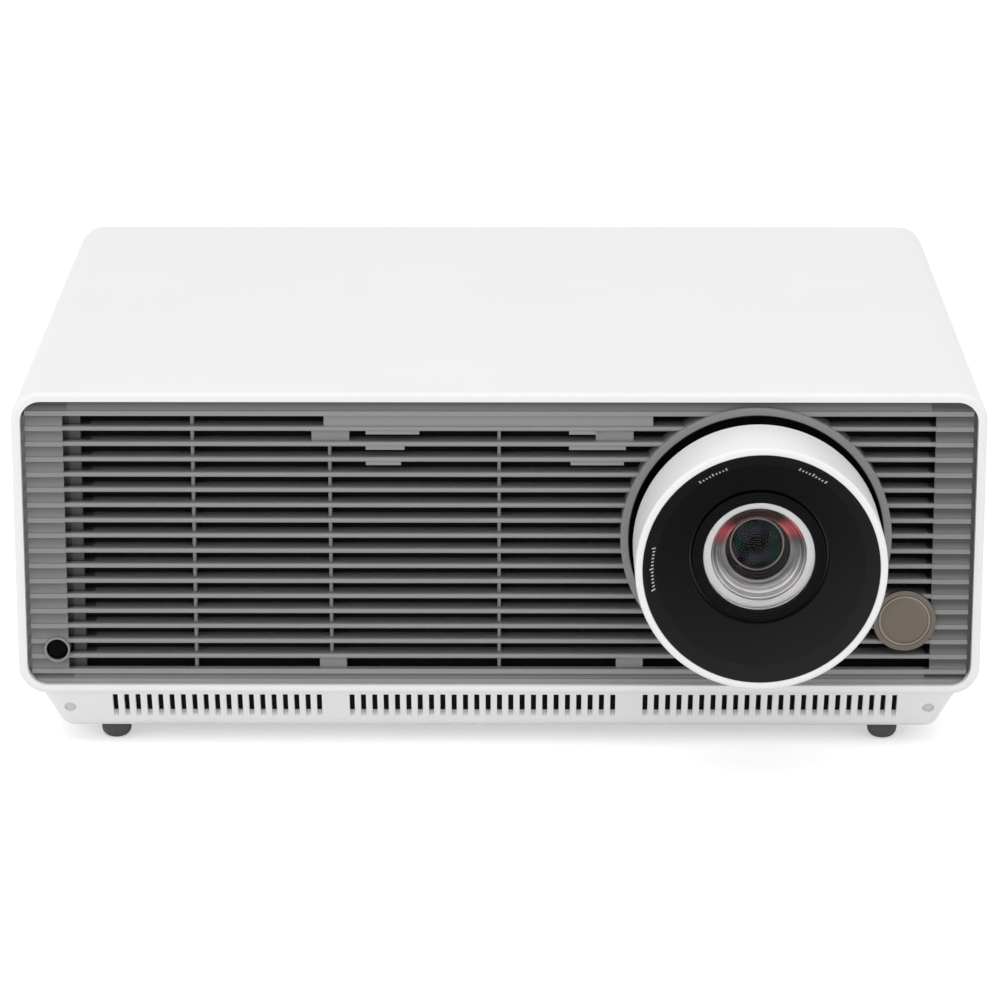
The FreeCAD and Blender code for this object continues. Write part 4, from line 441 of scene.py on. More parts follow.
class Lathe:
    """Turns profiles of (place along the axis, radius) round an axis through a point."""

    TURNS = {"Y": (math.pi / 2, 0, 0), "Z": (0, 0, 0)}

    def __init__(self, axis, first, second):
        self.axis = axis
        self.index = "XYZ".index(axis)
        self.middle = (first, second)

    def point(self, along):
        place = list(self.middle)
        place.insert(self.index, along)
        return place

    def turn(self, profile, sides, fill):
        clear_selection()
        along, radius = profile[0]
        bpy.ops.mesh.primitive_circle_add(vertices=sides, radius=radius, fill_type=fill,
                                          location=self.point(along), rotation=self.TURNS[self.axis])
        settle()
        bpy.ops.object.mode_set(mode="EDIT")
        bpy.ops.mesh.select_all(action="SELECT")
        for next_along, next_radius in profile[1:]:
            move = [0, 0, 0]
            move[self.index] = next_along - along
            bpy.ops.mesh.extrude_region_move(TRANSFORM_OT_translate={"value": move})
            grow = [next_radius / radius] * 3
            grow[self.index] = 1
            bpy.ops.transform.resize(value=grow, center_override=self.point(next_along))
            along, radius = next_along, next_radius
        close_mesh()
        return bpy.context.object

    def ring(self, profile, sides):
        """A ring whose section is the closed line through the profile's points."""
        return self.turn(list(profile) + [profile[0]], sides, "NOTHING")

    def solid(self, profile, sides):
        """A solid that starts and ends with a filled disc."""
        return self.turn(profile, sides, "TRIFAN")


def box_between(low, high):
    """A block between two corners, left as the active piece."""
    clear_selection()
    bpy.ops.mesh.primitive_cube_add(size=1.0, location=middles(low, high))
    bpy.context.object.scale = [b - a for a, b in zip(low, high)]
    settle()
    return bpy.context.object


def block_at(place, low, high):
    """A block between two corners that are given in millimetres from a place."""
    return box_between([at + step * MM for at, step in zip(place, low)],
                       [at + step * MM for at, step in zip(place, high)])


def stepped(start, steps):
    """Profile points in metres from (millimetres past the start, radius) steps."""
    return [(start + along * MM, radius * MM) for along, radius in steps]


def inside_rim(start, rim, steps):
    """Profile points in metres from (millimetres past the start, inside the rim) steps."""
    return [(start + along * MM, rim - inward * MM) for along, inward in steps]


def pick(piece):
    clear_selection()
    piece.select_set(True)
    bpy.context.view_layer.objects.active = piece


def apply_modifier(piece, kind, **settings):
    modifier = piece.modifiers.new("shape", kind)
    for key, value in settings.items():
        setattr(modifier, key, value)
    pick(piece)
    bpy.ops.object.modifier_apply(modifier=modifier.name)


# widths and depths are in millimetres from here on
def soften(piece, width, segments=2, angle=30.0):
    apply_modifier(piece, "BEVEL", width=width * MM, segments=segments, limit_method="ANGLE",
                   angle_limit=math.radians(angle))


def cut_away(piece, tool):
    """Cuts one closed shape out of another and throws the tool away."""
    apply_modifier(piece, "BOOLEAN", operation="DIFFERENCE", object=tool, solver="EXACT")
    bpy.data.objects.remove(tool, do_unlink=True)


def choose(piece, kind, test):
    """Opens a piece with the faces, edges or points selected that pass a test."""
    pick(piece)
    bpy.ops.object.mode_set(mode="EDIT")
    bpy.ops.mesh.select_mode(type=kind)
    bpy.ops.mesh.select_all(action="DESELECT")
    form = bmesh.from_edit_mesh(piece.data)
    for part in {"VERT": form.verts, "EDGE": form.edges, "FACE": form.faces}[kind]:
        if test(part):
            part.select_set(True)
    bmesh.update_edit_mesh(piece.data)


def leave():
    bpy.ops.object.mode_set(mode="OBJECT")


def round_off(piece, test, width, segments):
    """Bevels the edges that pass a test."""
    choose(piece, "EDGE", test)
    bpy.ops.mesh.bevel(offset=width * MM, segments=segments, affect="EDGES")
    leave()


def faces_way(axis, sign):
    """A test for faces that look along an axis."""
    return lambda face: face.normal[axis] * sign > 0.9


def runs_along(axis):
    """A test for edges that run along an axis."""
    return lambda edge: abs((edge.verts[1].co - edge.verts[0].co).normalized()[axis]) > 0.99


def pocket(piece, axis, sign, wall, depth):
    """Sinks a pocket into the face that looks along an axis."""
    choose(piece, "FACE", faces_way(axis, sign))
    bpy.ops.mesh.inset(thickness=wall * MM)
    move = [0, 0, 0]
    move[axis] = -sign * depth * MM
    bpy.ops.mesh.extrude_region_move(TRANSFORM_OT_translate={"value": move})
    leave()


def row_of(piece, offsets):
    """One piece and its copies, each moved in its own mesh, gathered into one."""
    row = [piece]
    for offset in offsets:
        twin = piece.copy()
        twin.data = piece.data.copy()
        twin.data.transform(Matrix.Translation(offset))
        bpy.context.scene.collection.objects.link(twin)
        row.append(twin)
    return gather(row)


def gather(pieces):
    """Joins several shapes into one piece."""
    clear_selection()
    for piece in pieces:
        piece.select_set(True)
    bpy.context.view_layer.objects.active = pieces[0]
    bpy.ops.object.join()
    return bpy.context.object


def fit(piece, name, slot, body="root", finish=None, replaces=()):
    """Names a finished piece, shades it, gives it its finish and sets it on its body."""
    pick(piece)
    bpy.ops.object.shade_smooth_by_angle(angle=math.radians(32.0))
    piece.name = name
    piece.data.name = name
    piece.data.materials.clear()
    piece.data.materials.append((finish or finishes[slot]).material)
    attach(piece, body)
    if replaces:
        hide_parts(*replaces)


# ---- lens head ----
SEAT_DEPTH = 4.2 * MM
lens_lathe = Lathe("Y", LENS_X, LENS_Z)


def arc_steps(centre_y, centre_r, radius, start, end, count):
    """(y, radius) points round a small arc; 0 degrees points outwards, 90 to the front."""
    steps = []
    for index in range(count + 1):
        angle = math.radians(start + (end - start) * index / count)
        steps.append((centre_y - radius * math.sin(angle), centre_r + radius * math.cos(angle)))
    return steps


def white_hood():
    """The white barrel with its full round rim."""
    low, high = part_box("lens_hood")
    outer = (high.x - low.x) / 2
    front, back = low.y, high.y
    rim, lip, edge = 1.2 * MM, 0.6 * MM, 0.4 * MM
    inner, bore, tail = outer - 2.8 * MM, outer - 4.2 * MM, 29.0 * MM
    step, wall = front + 3.5 * MM, back - 2 * MM
    profile = arc_steps(front + rim, outer - rim, rim, 0, 90, 6)
    profile += arc_steps(front + lip, inner + lip, lip, 90, 180, 4)
    profile += [(step, inner), (step, bore), (wall, bore), (wall, tail), (back, tail),
                (back, outer - edge), (back - edge, outer)]
    hood = lens_lathe.ring(profile, 160)
    fit(hood, "hood_barrel", "hood_white", "lens", replaces=["lens_hood"])


def black_dish():
    """The black funnel, with a fine step at its flare and baffle grooves by its hole."""
    low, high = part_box("lens_dish")
    rim = (high.x - low.x) / 2
    front, back = low.y, high.y
    flare, hole = 39.2 * MM, 26.4 * MM
    flare_y, hole_y = front + 5.1 * MM, front + 16.0 * MM
    slope = (hole_y - flare_y) / (flare - hole)
    face = inside_rim(front, rim, ((0, 0), (0, 0.5), (0.25, 0.8)))
    face += inside_rim(flare_y, flare, ((-0.3, -0.25), (0, 0.1)))
    for index in range(1, 13):
        radius = flare - (flare - hole - 0.5 * MM) * index / 12
        face.append((flare_y + (flare - radius) * slope, radius))
    face += inside_rim(hole_y, hole, ((-0.15, -0.12), (0.1, 0)))
    face += inside_rim(back, hole, ((0, 0), (0, -1.2))) + [(flare_y + 2.8 * MM, flare)]
    face += inside_rim(front, rim, ((3.0, 1.5), (3.0, 0)))
    dish = lens_lathe.ring(face, 160)
    fit(dish, "dish_funnel", "dish_black", "lens", replaces=["lens_dish"])


def dish_ticks():
    """Plain white index ticks on the funnel's steep edge, in three short rows."""
    low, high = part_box("lens_dish")
    near = (high.x - low.x) / 2 - 4.0 * MM
    lean = math.atan2(4.85, 4.15)
    half_thick, half_wide = 0.03 * MM, 0.24 * MM
    marks = []
    for middle, count, long_every in ((117.0, 9, 4), (63.0, 9, 4), (180.0, 13, 6)):
        for index in range(count):
            angle = math.radians(middle + (index - (count - 1) / 2) * 1.9)
            length = (2.3 if index % long_every == 0 else 1.4) * MM
            tick = box_between((0, -half_thick, -half_wide), (length, half_thick, half_wide))
            bpy.ops.object.mode_set(mode="EDIT")
            bpy.ops.mesh.select_all(action="SELECT")
            bpy.ops.mesh.bevel(offset=0.02 * MM, segments=1, affect="EDGES")
            bpy.ops.object.mode_set(mode="OBJECT")
            for move in (Matrix.Rotation(-lean, 4, "Z"),
                         Matrix.Translation((near, low.y + 1.55 * MM, 0)),
                         Matrix.Rotation(-angle, 4, "Y"),
                         Matrix.Translation((LENS_X, 0, LENS_Z))):
                tick.data.transform(move)
            marks.append(tick)
    fit(gather(marks), "dish_index_ticks", "dish_black", "lens", finish=ink_white)


def lens_cell():
    """The focusing cell: black outer ring, bright sleeve and the stepped throat behind it."""
    low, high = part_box("front_lens_cell")
    front, back = low.y, high.y
    seat = front + SEAT_DEPTH
    outer, bore, step = 25.4 * MM, 21.15 * MM, 22.5 * MM
    ring = inside_rim(front, outer, ((0.4, 0), (0.1, 0.3), (0, 0.6)))
    for groove in (1.1, 2.1, 3.1):
        ring += inside_rim(front, outer, ((0, groove - 0.15), (0.22, groove), (0, groove + 0.15)))
    ring += [(front, bore + 0.3 * MM), (front + 0.3 * MM, bore), (seat, bore), (seat, step),
             (back, step), (back, outer)]
    fit(lens_lathe.ring(ring, 160), "focus_cell_ring", "cell_alloy", "focus_cell",
        replaces=["front_lens_cell"])
    for name, sides, finish, steps in (
        ("focus_cell_sleeve", 160, bright_sleeve, (
            (0.6, 22.45), (-0.3, 21.3), (-0.4, 21.05), (-0.45, 20.8), (-0.45, 18.3), (-0.3, 18.0),
            (1.2, 17.9), (1.2, 18.8), (1.8, 22.45))),
        ("throat_cone", 128, cone_painted_light, (
            (1.5, 18.7), (0.95, 17.75), (0.8, 17.4), (0.85, 17.1), (2.5, 15.95), (2.62, 15.95),
            (2.75, 15.65), (4.1, 14.65), (4.2, 14.65), (4.35, 14.35), (5.4, 13.65), (5.5, 13.5),
            (5.7, 13.5), (5.8, 18.7))),
        ("throat_lip", 128, cone_painted_light, (
            (6.9, 13.9), (6.9, 13.0), (6.75, 12.8), (6.65, 12.5), (6.7, 12.25), (7.0, 12.1),
            (7.4, 12.1), (7.4, 13.9))),
        ("throat_well", 96, throat_black, (
            (5.8, 14.0), (6.8, 13.95), (7.5, 13.6), (7.5, 12.3), (7.6, 12.0), (9.6, 11.5),
            (9.7, 11.3), (11.4, 10.9), (11.5, 10.7), (13.1, 10.35), (13.2, 11.6), (7.9, 15.2),
            (5.8, 15.2))),
        ("throat_rim", 96, rim_alloy, (
            (13.3, 10.5), (12.95, 10.2), (12.85, 9.95), (12.95, 9.65), (13.3, 9.45), (14.2, 9.45),
            (14.2, 10.5))),
    ):
        fit(lens_lathe.ring(stepped(seat, steps), sides), name, "cell_alloy", "focus_cell",
            finish=finish)


def lens_elements():
    """Big front element and the small dark one in the throat."""
    low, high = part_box("front_lens_glass")
    rim = (high.x - low.x) / 2
    crown = 2.6 * MM
    sphere = (rim ** 2 + crown ** 2) / (2 * crown)
    back = low.y + crown + 2.5 * MM
    profile = [(back, rim - 0.3 * MM), (back - 0.3 * MM, rim)]
    for index in range(13):
        radius = rim * (1 - index / 12.5)
        drop = sphere - math.sqrt(sphere ** 2 - radius ** 2)
        profile.append((low.y + drop, radius))
    profile.append((low.y, 0.05 * MM))
    fit(lens_lathe.solid(profile, 128), "front_element", "lens_glass", "focus_cell",
        finish=bloomed_glass, replaces=["front_lens_glass"])
    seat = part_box("front_lens_cell")[0].y + SEAT_DEPTH
    small = [(14.7, 9.0), (14.6, 9.4), (13.4, 9.4)]
    for index in range(9):
        share = 1 - index / 8.5
        small.append((12.6 + 0.75 * share ** 2, 9.35 * share))
    small.append((12.6, 0.05))
    fit(lens_lathe.solid(stepped(seat, small), 96), "throat_element", "lens_glass", "focus_cell",
        finish=deep_coated)


# ---- badge and receiver ----
def plain_badge():
    """A bare medallion: raised rim, shallow dish and fine turned rings."""
    low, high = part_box("front_badge")
    x, _, z = middles(low, high)
    radius = (high.x - low.x) / 2
    lathe = Lathe("Y", x, z)
    face = inside_rim(low.y, radius, (
        (0.35, 0.0), (0.12, 0.1), (0.08, 0.3), (0.08, 1.9), (0.3, 2.1), (0.4, 2.3), (0.4, 2.9),
        (0.3, 3.1), (0.3, radius / MM / 2), (0.3, radius / MM - 0.05)))
    badge = lathe.solid([(high.y, radius)] + face, 128)
    # the bead is coloured brighter than the medallion, as a painted highlight
    bead = inside_rim(low.y, radius, (
        (0.4, 2.1), (0.12, 2.18), (0.0, 2.4), (0.0, 2.75), (0.12, 2.95), (0.4, 3.05)))
    fit(lathe.ring(bead, 128), "badge_bead", "badge_bronze", finish=bead_painted_highlight)
    fit(badge, "badge_medallion", "badge_bronze", replaces=["front_badge"])


def receiver_window():
    """Smoked dome of the remote-control receiver."""
    low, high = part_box("ir_receiver_window")
    x, _, z = middles(low, high)
    flange, dome = (high.x - low.x) / 2, 4.1 * MM
    rise, brim = 0.9 * MM, high.y - 1.0 * MM
    profile = [(high.y, flange), (brim, flange), (brim, dome), (low.y + rise, dome)]
    for index in range(1, 9):
        angle = math.radians(index * 10.0)
        profile.append((low.y + rise - rise * math.sin(angle), dome * math.cos(angle)))
    profile.append((low.y, 0.05 * MM))
    fit(Lathe("Y", x, z).solid(profile, 64), "receiver_dome", "receiver_black",
        replaces=["ir_receiver_window"])


def grille_screen():
    """Near-black sheet right behind the louvres, with a hole for the lens: painted shade for the dark
    inside.
    """
    low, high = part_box("front_grille")
    front = low.y + 11.6 * MM
    side, edge = 9 * MM, 4 * MM
    sheet = box_between((low.x + side, front, low.z + edge),
                        (high.x - side, front + 0.4 * MM, high.z - edge))
    cut_away(sheet, lens_lathe.solid(stepped(front, ((-2, 50.0), (2, 50.0))), 96))
    fit(sheet, "grille_screen", "filter_mesh")


def slope_turn(piece, middle):
    """Leans a shape back by the base's slope about a point."""
    piece.data.transform(Matrix.Translation(-middle))
    piece.data.transform(Matrix.Rotation(SLOPE, 4, "X"))
    piece.data.transform(Matrix.Translation(middle))


def on_slope(x, z, inside):
    """A point on the sloping front of the tray, some way in along its normal."""
    return Vector((x, tray_low.y + (SPLIT_Z - z) * math.tan(SLOPE) + inside * math.cos(SLOPE),
                   z + inside * math.sin(SLOPE)))


def collar_baffle():
    """Thin black ring across the collar's back: painted shade that keeps the gap round the barrel
    dark.
    """
    steps = ((0.0, 48.5), (0.1, 48.55), (0.6, 48.55), (0.6, 38.6), (0.5, 38.5), (0.1, 38.5),
             (0.0, 38.6))
    ring = lens_lathe.ring(stepped(GRILLE_FRONT + 11.0 * MM, steps), 96)
    fit(ring, "collar_baffle", "filter_mesh")


def vent_screen():
    """Near-black strip behind the slots of the sloping base: painted shade for the dark inside."""
    middle = on_slope(0.0, SPLIT_Z - 7.3 * MM, 3.0 * MM)
    reach = tray_high.x - 19 * MM
    strip = box_between((-reach, middle.y - 0.25 * MM, middle.z - 5.9 * MM),
                        (reach, middle.y + 0.25 * MM, middle.z + 5.9 * MM))
    soften(strip, 0.12, 1)
    slope_turn(strip, middle)
    fit(strip, "vent_screen", "filter_mesh")


def dimple_plugs():
    """Grey discs at the bottom of the two dimples near the base's ends: painted shade of the dimples.
    """
    steps = ((0.85, 2.2), (0.62, 2.2), (0.5, 2.0), (0.45, 1.2), (0.45, 0.05))
    plugs = []
    for side in (-1, 1):
        middle = on_slope(side * (tray_high.x - 11.3 * MM), SPLIT_Z - 7.8 * MM, 0.0)
        plug = Lathe("Y", middle.x, middle.z).solid(stepped(middle.y, steps), 40)
        slope_turn(plug, middle)
        plugs.append(plug)
    fit(gather(plugs), "dimple_plugs", "white_base", finish=dimple_painted_shade)


# ---- feet and underside ----
def flute(piece, x, y, low_z, high_z, radius, sides):
    """Presses a flute into every fourth point column between two heights."""
    step = math.tau / sides

    def inside(point):
        column = round(math.atan2(point.co.y - y, point.co.x - x) / step)
        wide = math.hypot(point.co.x - x, point.co.y - y) > radius * 0.97
        return wide and low_z <= point.co.z <= high_z and column % 4 == 0

    choose(piece, "VERT", inside)
    bpy.ops.transform.resize(value=(0.955, 0.955, 1.0), center_override=(x, y, low_z))
    leave()


def screw_foot(node, body):
    """Rubber knob of a screw foot: fluted rim, bowl below, socket for its stud."""
    low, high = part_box(node)
    x, y, _ = middles(low, high)
    steps = ((3.0, 3.05), (high.z / MM, 3.05), (high.z / MM, 5.5), (6.45, 5.72), (6.2, 5.8),
             (4.4, 5.8), (3.2, 5.75), (2.1, 5.5), (1.2, 4.95), (0.5, 4.2), (0.12, 3.4), (0.0, 2.8),
             (0.0, 2.2), (0.4, 1.9), (0.45, 0.05))
    sides = 96
    knob = Lathe("Z", x, y).solid(stepped(0.0, steps), sides)
    flute(knob, x, y, 4.7 * MM, 6.3 * MM, (high.x - low.x) / 2, sides)
    fit(knob, node + "_knob", "foot_rubber", body, replaces=[node])


def rear_buttons():
    """Two fixed rubber feet with a ring groove underneath."""
    low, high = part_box("rear_feet")
    radius = (high.y - low.y) / 2
    steps = ((high.z / MM, 5.8), (3.0, 5.8), (1.9, 5.5), (0.9, 4.8), (0.3, 3.9), (0.0, 3.1),
             (0.0, 2.6), (0.4, 2.4), (0.4, 1.6), (0.05, 1.4), (0.05, 0.05))
    button = Lathe("Z", low.x + radius, low.y + radius).solid(stepped(0.0, steps), 64)
    both = row_of(button, [(high.x - low.x - 2 * radius, 0, 0)])
    fit(both, "rear_foot_buttons", "foot_rubber", replaces=["rear_feet"])


def foot_stud(node, body):
    """Zinc-plated stud with its thread."""
    low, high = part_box(node)
    x, y, _ = middles(low, high)
    radius = (high.x - low.x) / 2
    steps = inside_rim(low.z, radius, ((0, 0.5), (0.5, 0)))
    along = low.z + 4.6 * MM
    while along < high.z - 1.6 * MM:
        steps += inside_rim(along, radius, ((0, 0), (0.4, 0.42), (0.5, 0.42), (0.9, 0)))
        along += 1.0 * MM
    steps += inside_rim(high.z, radius, ((-0.5, 0), (0, 0.6)))
    fit(Lathe("Z", x, y).solid(steps, 40), node + "_thread", "stem_steel", body, replaces=[node])


def cross_recess(piece, middle, size, depth, axis):
    """Cuts a cross into a screw's head that looks along an axis."""
    for reach in ([size / 2, size / 7], [size / 7, size / 2]):
        reach.insert(axis, depth)
        cut_away(piece, block_at(middle, [-half for half in reach], reach))


def case_fixings():
    """Six pan-head screws sunk in the tray, modelled once and copied."""
    low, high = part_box("case_screws")
    radius, turns, pitch = 3.0 * MM, 8, 1.4
    x, y = low.x + radius, low.y + radius
    steps = [(0.0, 1.9), (0.12, 2.4), (0.35, 2.8), (0.7, 3.0), (2.2, 3.0), (2.2, 1.2)]
    for turn in range(turns):
        steps += [(start + turn * pitch, out) for start, out in ((3.4, 1.2), (3.8, 0.95), (4.2, 1.2))]
    steps += [(15.4, 0.9), ((high.z - low.z) / MM, 0.2)]
    screw = Lathe("Z", x, y).solid(stepped(low.z, steps), 32)
    cross_recess(screw, (x, y, low.z), 3.2, 1.3, 2)
    across, half_way = high.x - low.x - 2 * radius, 123.0 * MM
    rows = high.y - low.y - 2 * radius
    places = ((0, half_way, 0), (0, rows, 0), (across, 0, 0), (across, half_way, 0),
              (across, rows, 0))
    fit(row_of(screw, places), "case_fixings", "screw_steel", replaces=["case_screws"])


# ---- rear sockets ----
REAR_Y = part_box("usb_ports")[1].y
PANEL_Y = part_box("rear_panel")[1].y
WIDTHS = {"hdmi_ports": 15.6 * MM, "usb_ports": 14.1 * MM, "network_ports": 13.4 * MM,
          "audio_jacks": 8.0 * MM}


def pair_places(node):
    """The two middles of a pair of sockets, and their height."""
    low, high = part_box(node)
    half = WIDTHS[node] / 2
    return (low.x + half, high.x - half), (low.z + high.z) / 2


def strips(place, back, lift, count, pitch, size):
    """A row of thin contact springs centred on a place, set out in millimetres."""
    width, length, thickness = size
    left = -(pitch * (count - 1) + width) / 2
    strip = block_at(place, (left, back, lift), (left + width, back + length, lift + thickness))
    round_off(strip, runs_along(0), thickness * 0.4, 2)
    return row_of(strip, [(pitch * index * MM, 0, 0) for index in range(1, count)])


def socket_shell(x, node, corner, wall, depth, chamfer=0.0):
    """A plated shell with a pocket in its mouth; its lower corners may be cut off."""
    low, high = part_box(node)
    half = WIDTHS[node] / 2
    shell = box_between((x - half, low.y, low.z), (x + half, high.y, high.z))
    if chamfer:
        z = (low.z + high.z) / 2
        round_off(shell, lambda edge: runs_along(1)(edge) and edge.verts[0].co.z < z, chamfer, 1)
    soften(shell, corner, 2, 40)
    pocket(shell, 1, 1, wall, depth)
    return shell


def tongue_sockets(kind, node, shell, tongue, finish, springs, windows=()):
    """A pair of plated sockets, each with a tongue and gold springs in its mouth."""
    places, z = pair_places(node)
    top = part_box(node)[1].z
    low, high, edge = tongue
    shells, tongues, rows = [], [], []
    for x in places:
        shells.append(socket_shell(x, node, *shell))
        for side in windows:
            window = block_at((x, REAR_Y, top), (side - 1.1, -6.5, -0.9), (side + 1.1, -2.5, 1))
            cut_away(shells[-1], window)
        tongues.append(block_at((x, REAR_Y, z), low, high))
        soften(tongues[-1], edge)
        rows.append(strips((x, REAR_Y, z), *springs))
    fit(gather(shells), kind + "_socket_shells", "socket_metal", replaces=[node])
    fit(gather(tongues), kind + "_socket_tongues", "jack_black", finish=finish)
    fit(gather(rows), kind + "_socket_springs", "socket_metal", finish=contact_gold)


def network_sockets():
    """Two eight-way sockets: metal shell, black liner with a latch notch, gold wires."""
    places, z = pair_places("network_ports")
    shells, liners, wires = [], [], []
    for x in places:
        shells.append(socket_shell(x, "network_ports", 0.35, 0.7, 12.0))
        mouth = (x, REAR_Y, z)
        liner = block_at(mouth, (-5.95, -11.8, -4.15), (5.95, -0.4, 4.15))
        pocket(liner, 1, 1, 0.75, 10.4)
        cut_away(liner, block_at(mouth, (-3.0, -8.0, -4.0), (3.0, 1, -3.0)))
        liners.append(liner)
        wires.append(strips(mouth, -9.0, 2.4, 8, 1.02, (0.36, 6.0, 0.3)))
    fit(gather(shells), "network_socket_shells", "socket_metal", replaces=["network_ports"])
    fit(gather(liners), "network_socket_liners", "jack_black", finish=tongue_black)
    fit(gather(wires), "network_socket_wires", "socket_metal", finish=contact_gold)


def round_jacks():
    """Two round jacks: black body with a bright bush in its mouth."""
    low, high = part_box("audio_jacks")
    places, z = pair_places("audio_jacks")
    body = [(low.y, 4.0 * MM)] + stepped(high.y, (
        (-0.4, 4.0), (0.0, 3.6), (0.0, 2.75), (-0.5, 2.7), (-0.5, 1.85), (-12, 1.85), (-12, 1.0)))
    body.append((low.y, 1.0 * MM))
    bush = stepped(high.y, (
        (-0.5, 2.68), (-0.1, 2.6), (0.0, 2.4), (-0.1, 1.95), (-2.0, 1.85), (-2.0, 2.68)))
    bodies, bushes = [], []
    for x in places:
        lathe = Lathe("Y", x, z)
        bodies.append(lathe.ring(body, 48))
        bushes.append(lathe.ring(bush, 48))
    fit(gather(bodies), "jack_bodies", "jack_black", replaces=["audio_jacks"])
    fit(gather(bushes), "jack_bushes", "socket_metal")


def mains_inlet():
    """Mains inlet: black shroud with a keyed pocket and three plated blades."""
    low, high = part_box("ac_inlet")
    x, _, z = middles(low, high)
    half_w, half_h = 13.7 * MM, 10.0 * MM
    gap_w, gap_h = 12.7 * MM, 9.0 * MM
    shroud = box_between((x - half_w, low.y, z - half_h), (x + half_w, high.y, z + half_h))
    round_off(shroud, runs_along(1), 3.0, 5)
    pocket(shroud, 1, 1, 1.6, 17.0)
    mouth = high.y - 0.01 * MM
    round_off(shroud, lambda edge: all(point.co.y > mouth for point in edge.verts), 0.35, 2)
    flange = box_between((low.x, PANEL_Y - 3.6 * MM, low.z), (high.x, PANEL_Y - 2.05 * MM, high.z))
    cut_away(flange, box_between((x - gap_w, low.y, z - gap_h), (x + gap_w, high.y, z + gap_h)))
    soften(flange, 0.3)
    fit(gather([shroud, flange]), "mains_shroud", "inlet_black", replaces=["ac_inlet"])
    blades, tips = [], high.y - 7 * MM
    for dx, dz in ((-7.0, -1.5), (0.0, 2.5), (7.0, -1.5)):
        blade = block_at((x, high.y, z), (dx - 1, -18, dz - 2), (dx + 1, -6, dz + 2))
        round_off(blade, lambda edge: all(point.co.y > tips for point in edge.verts), 0.6, 3)
        blades.append(blade)
    fit(gather(blades), "mains_blades", "socket_metal")


def stick_button():
    """Dished cap of the joystick with four raised marks on its rim."""
    low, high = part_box("joystick_cap")
    x, _, z = middles(low, high)
    steps = ((-2.4, 1.5), (-5.4, 1.5), (-5.4, 5.7), (-5.1, 6.0), (-1.5, 6.0), (-0.6, 5.75),
             (-0.1, 5.2), (0.0, 4.8), (-0.15, 4.4), (-0.55, 3.4), (-0.8, 2.0), (-0.85, 0.05))
    cap = Lathe("Y", x, z).solid(stepped(high.y, steps), 64)
    reach, marks = 4.9 * MM, []
    for dx, dz in ((0, 1), (1, 0), (0, -1), (-1, 0)):
        wide, tall = 0.9 if dz else 0.3, 0.9 if dx else 0.3
        place = (x + dx * reach, high.y, z + dz * reach)
        mark = block_at(place, (-wide, -0.3, -tall), (wide, 0, tall))
        soften(mark, 0.12)
        marks.append(mark)
    fit(gather([cap] + marks), "stick_button_cap", "stick_black", "stick_button",
        replaces=["joystick_cap"])


def panel_fixings():
    """Black pan-head screws at the rear panel's corners."""
    low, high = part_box("rear_panel")
    x, z = low.x + 7.6 * MM, low.z + 7.6 * MM
    steps = ((-0.6, 2.0), (0.25, 2.0), (0.7, 1.8), (0.95, 1.3), (1.0, 0.05))
    screw = Lathe("Y", x, z).solid(stepped(PANEL_Y, steps), 32)
    cross_recess(screw, (x, PANEL_Y + 1.0 * MM, z), 2.4, 0.7, 1)
    across, up = high.x - low.x - 15.2 * MM, high.z - low.z - 15.0 * MM
    fit(row_of(screw, [(across, 0, 0), (0, 0, up), (across, 0, up), (across * 0.52, 0, up)]),
        "panel_fixings", "fan_black")


def socket_numbers():
    """Plain numbers above the paired sockets."""
    marks = []
    for node in WIDTHS:
        places, z = pair_places(node)
        for number, x in enumerate(reversed(places), 1):
            clear_selection()
            bpy.ops.object.text_add(location=(x, PANEL_Y + 0.05 * MM, z + 7.4 * MM),
                                    rotation=(math.pi / 2, 0, math.pi))
            text = bpy.context.object
            text.data.body = str(number)
            text.data.size = 3.4 * MM
            text.data.align_x = "CENTER"
            text.data.extrude = 0.03 * MM
            bpy.ops.object.convert(target="MESH")
            settle()
            marks.append(bpy.context.object)
    fit(gather(marks), "socket_numbers", "panel_grey", finish=ink_white)


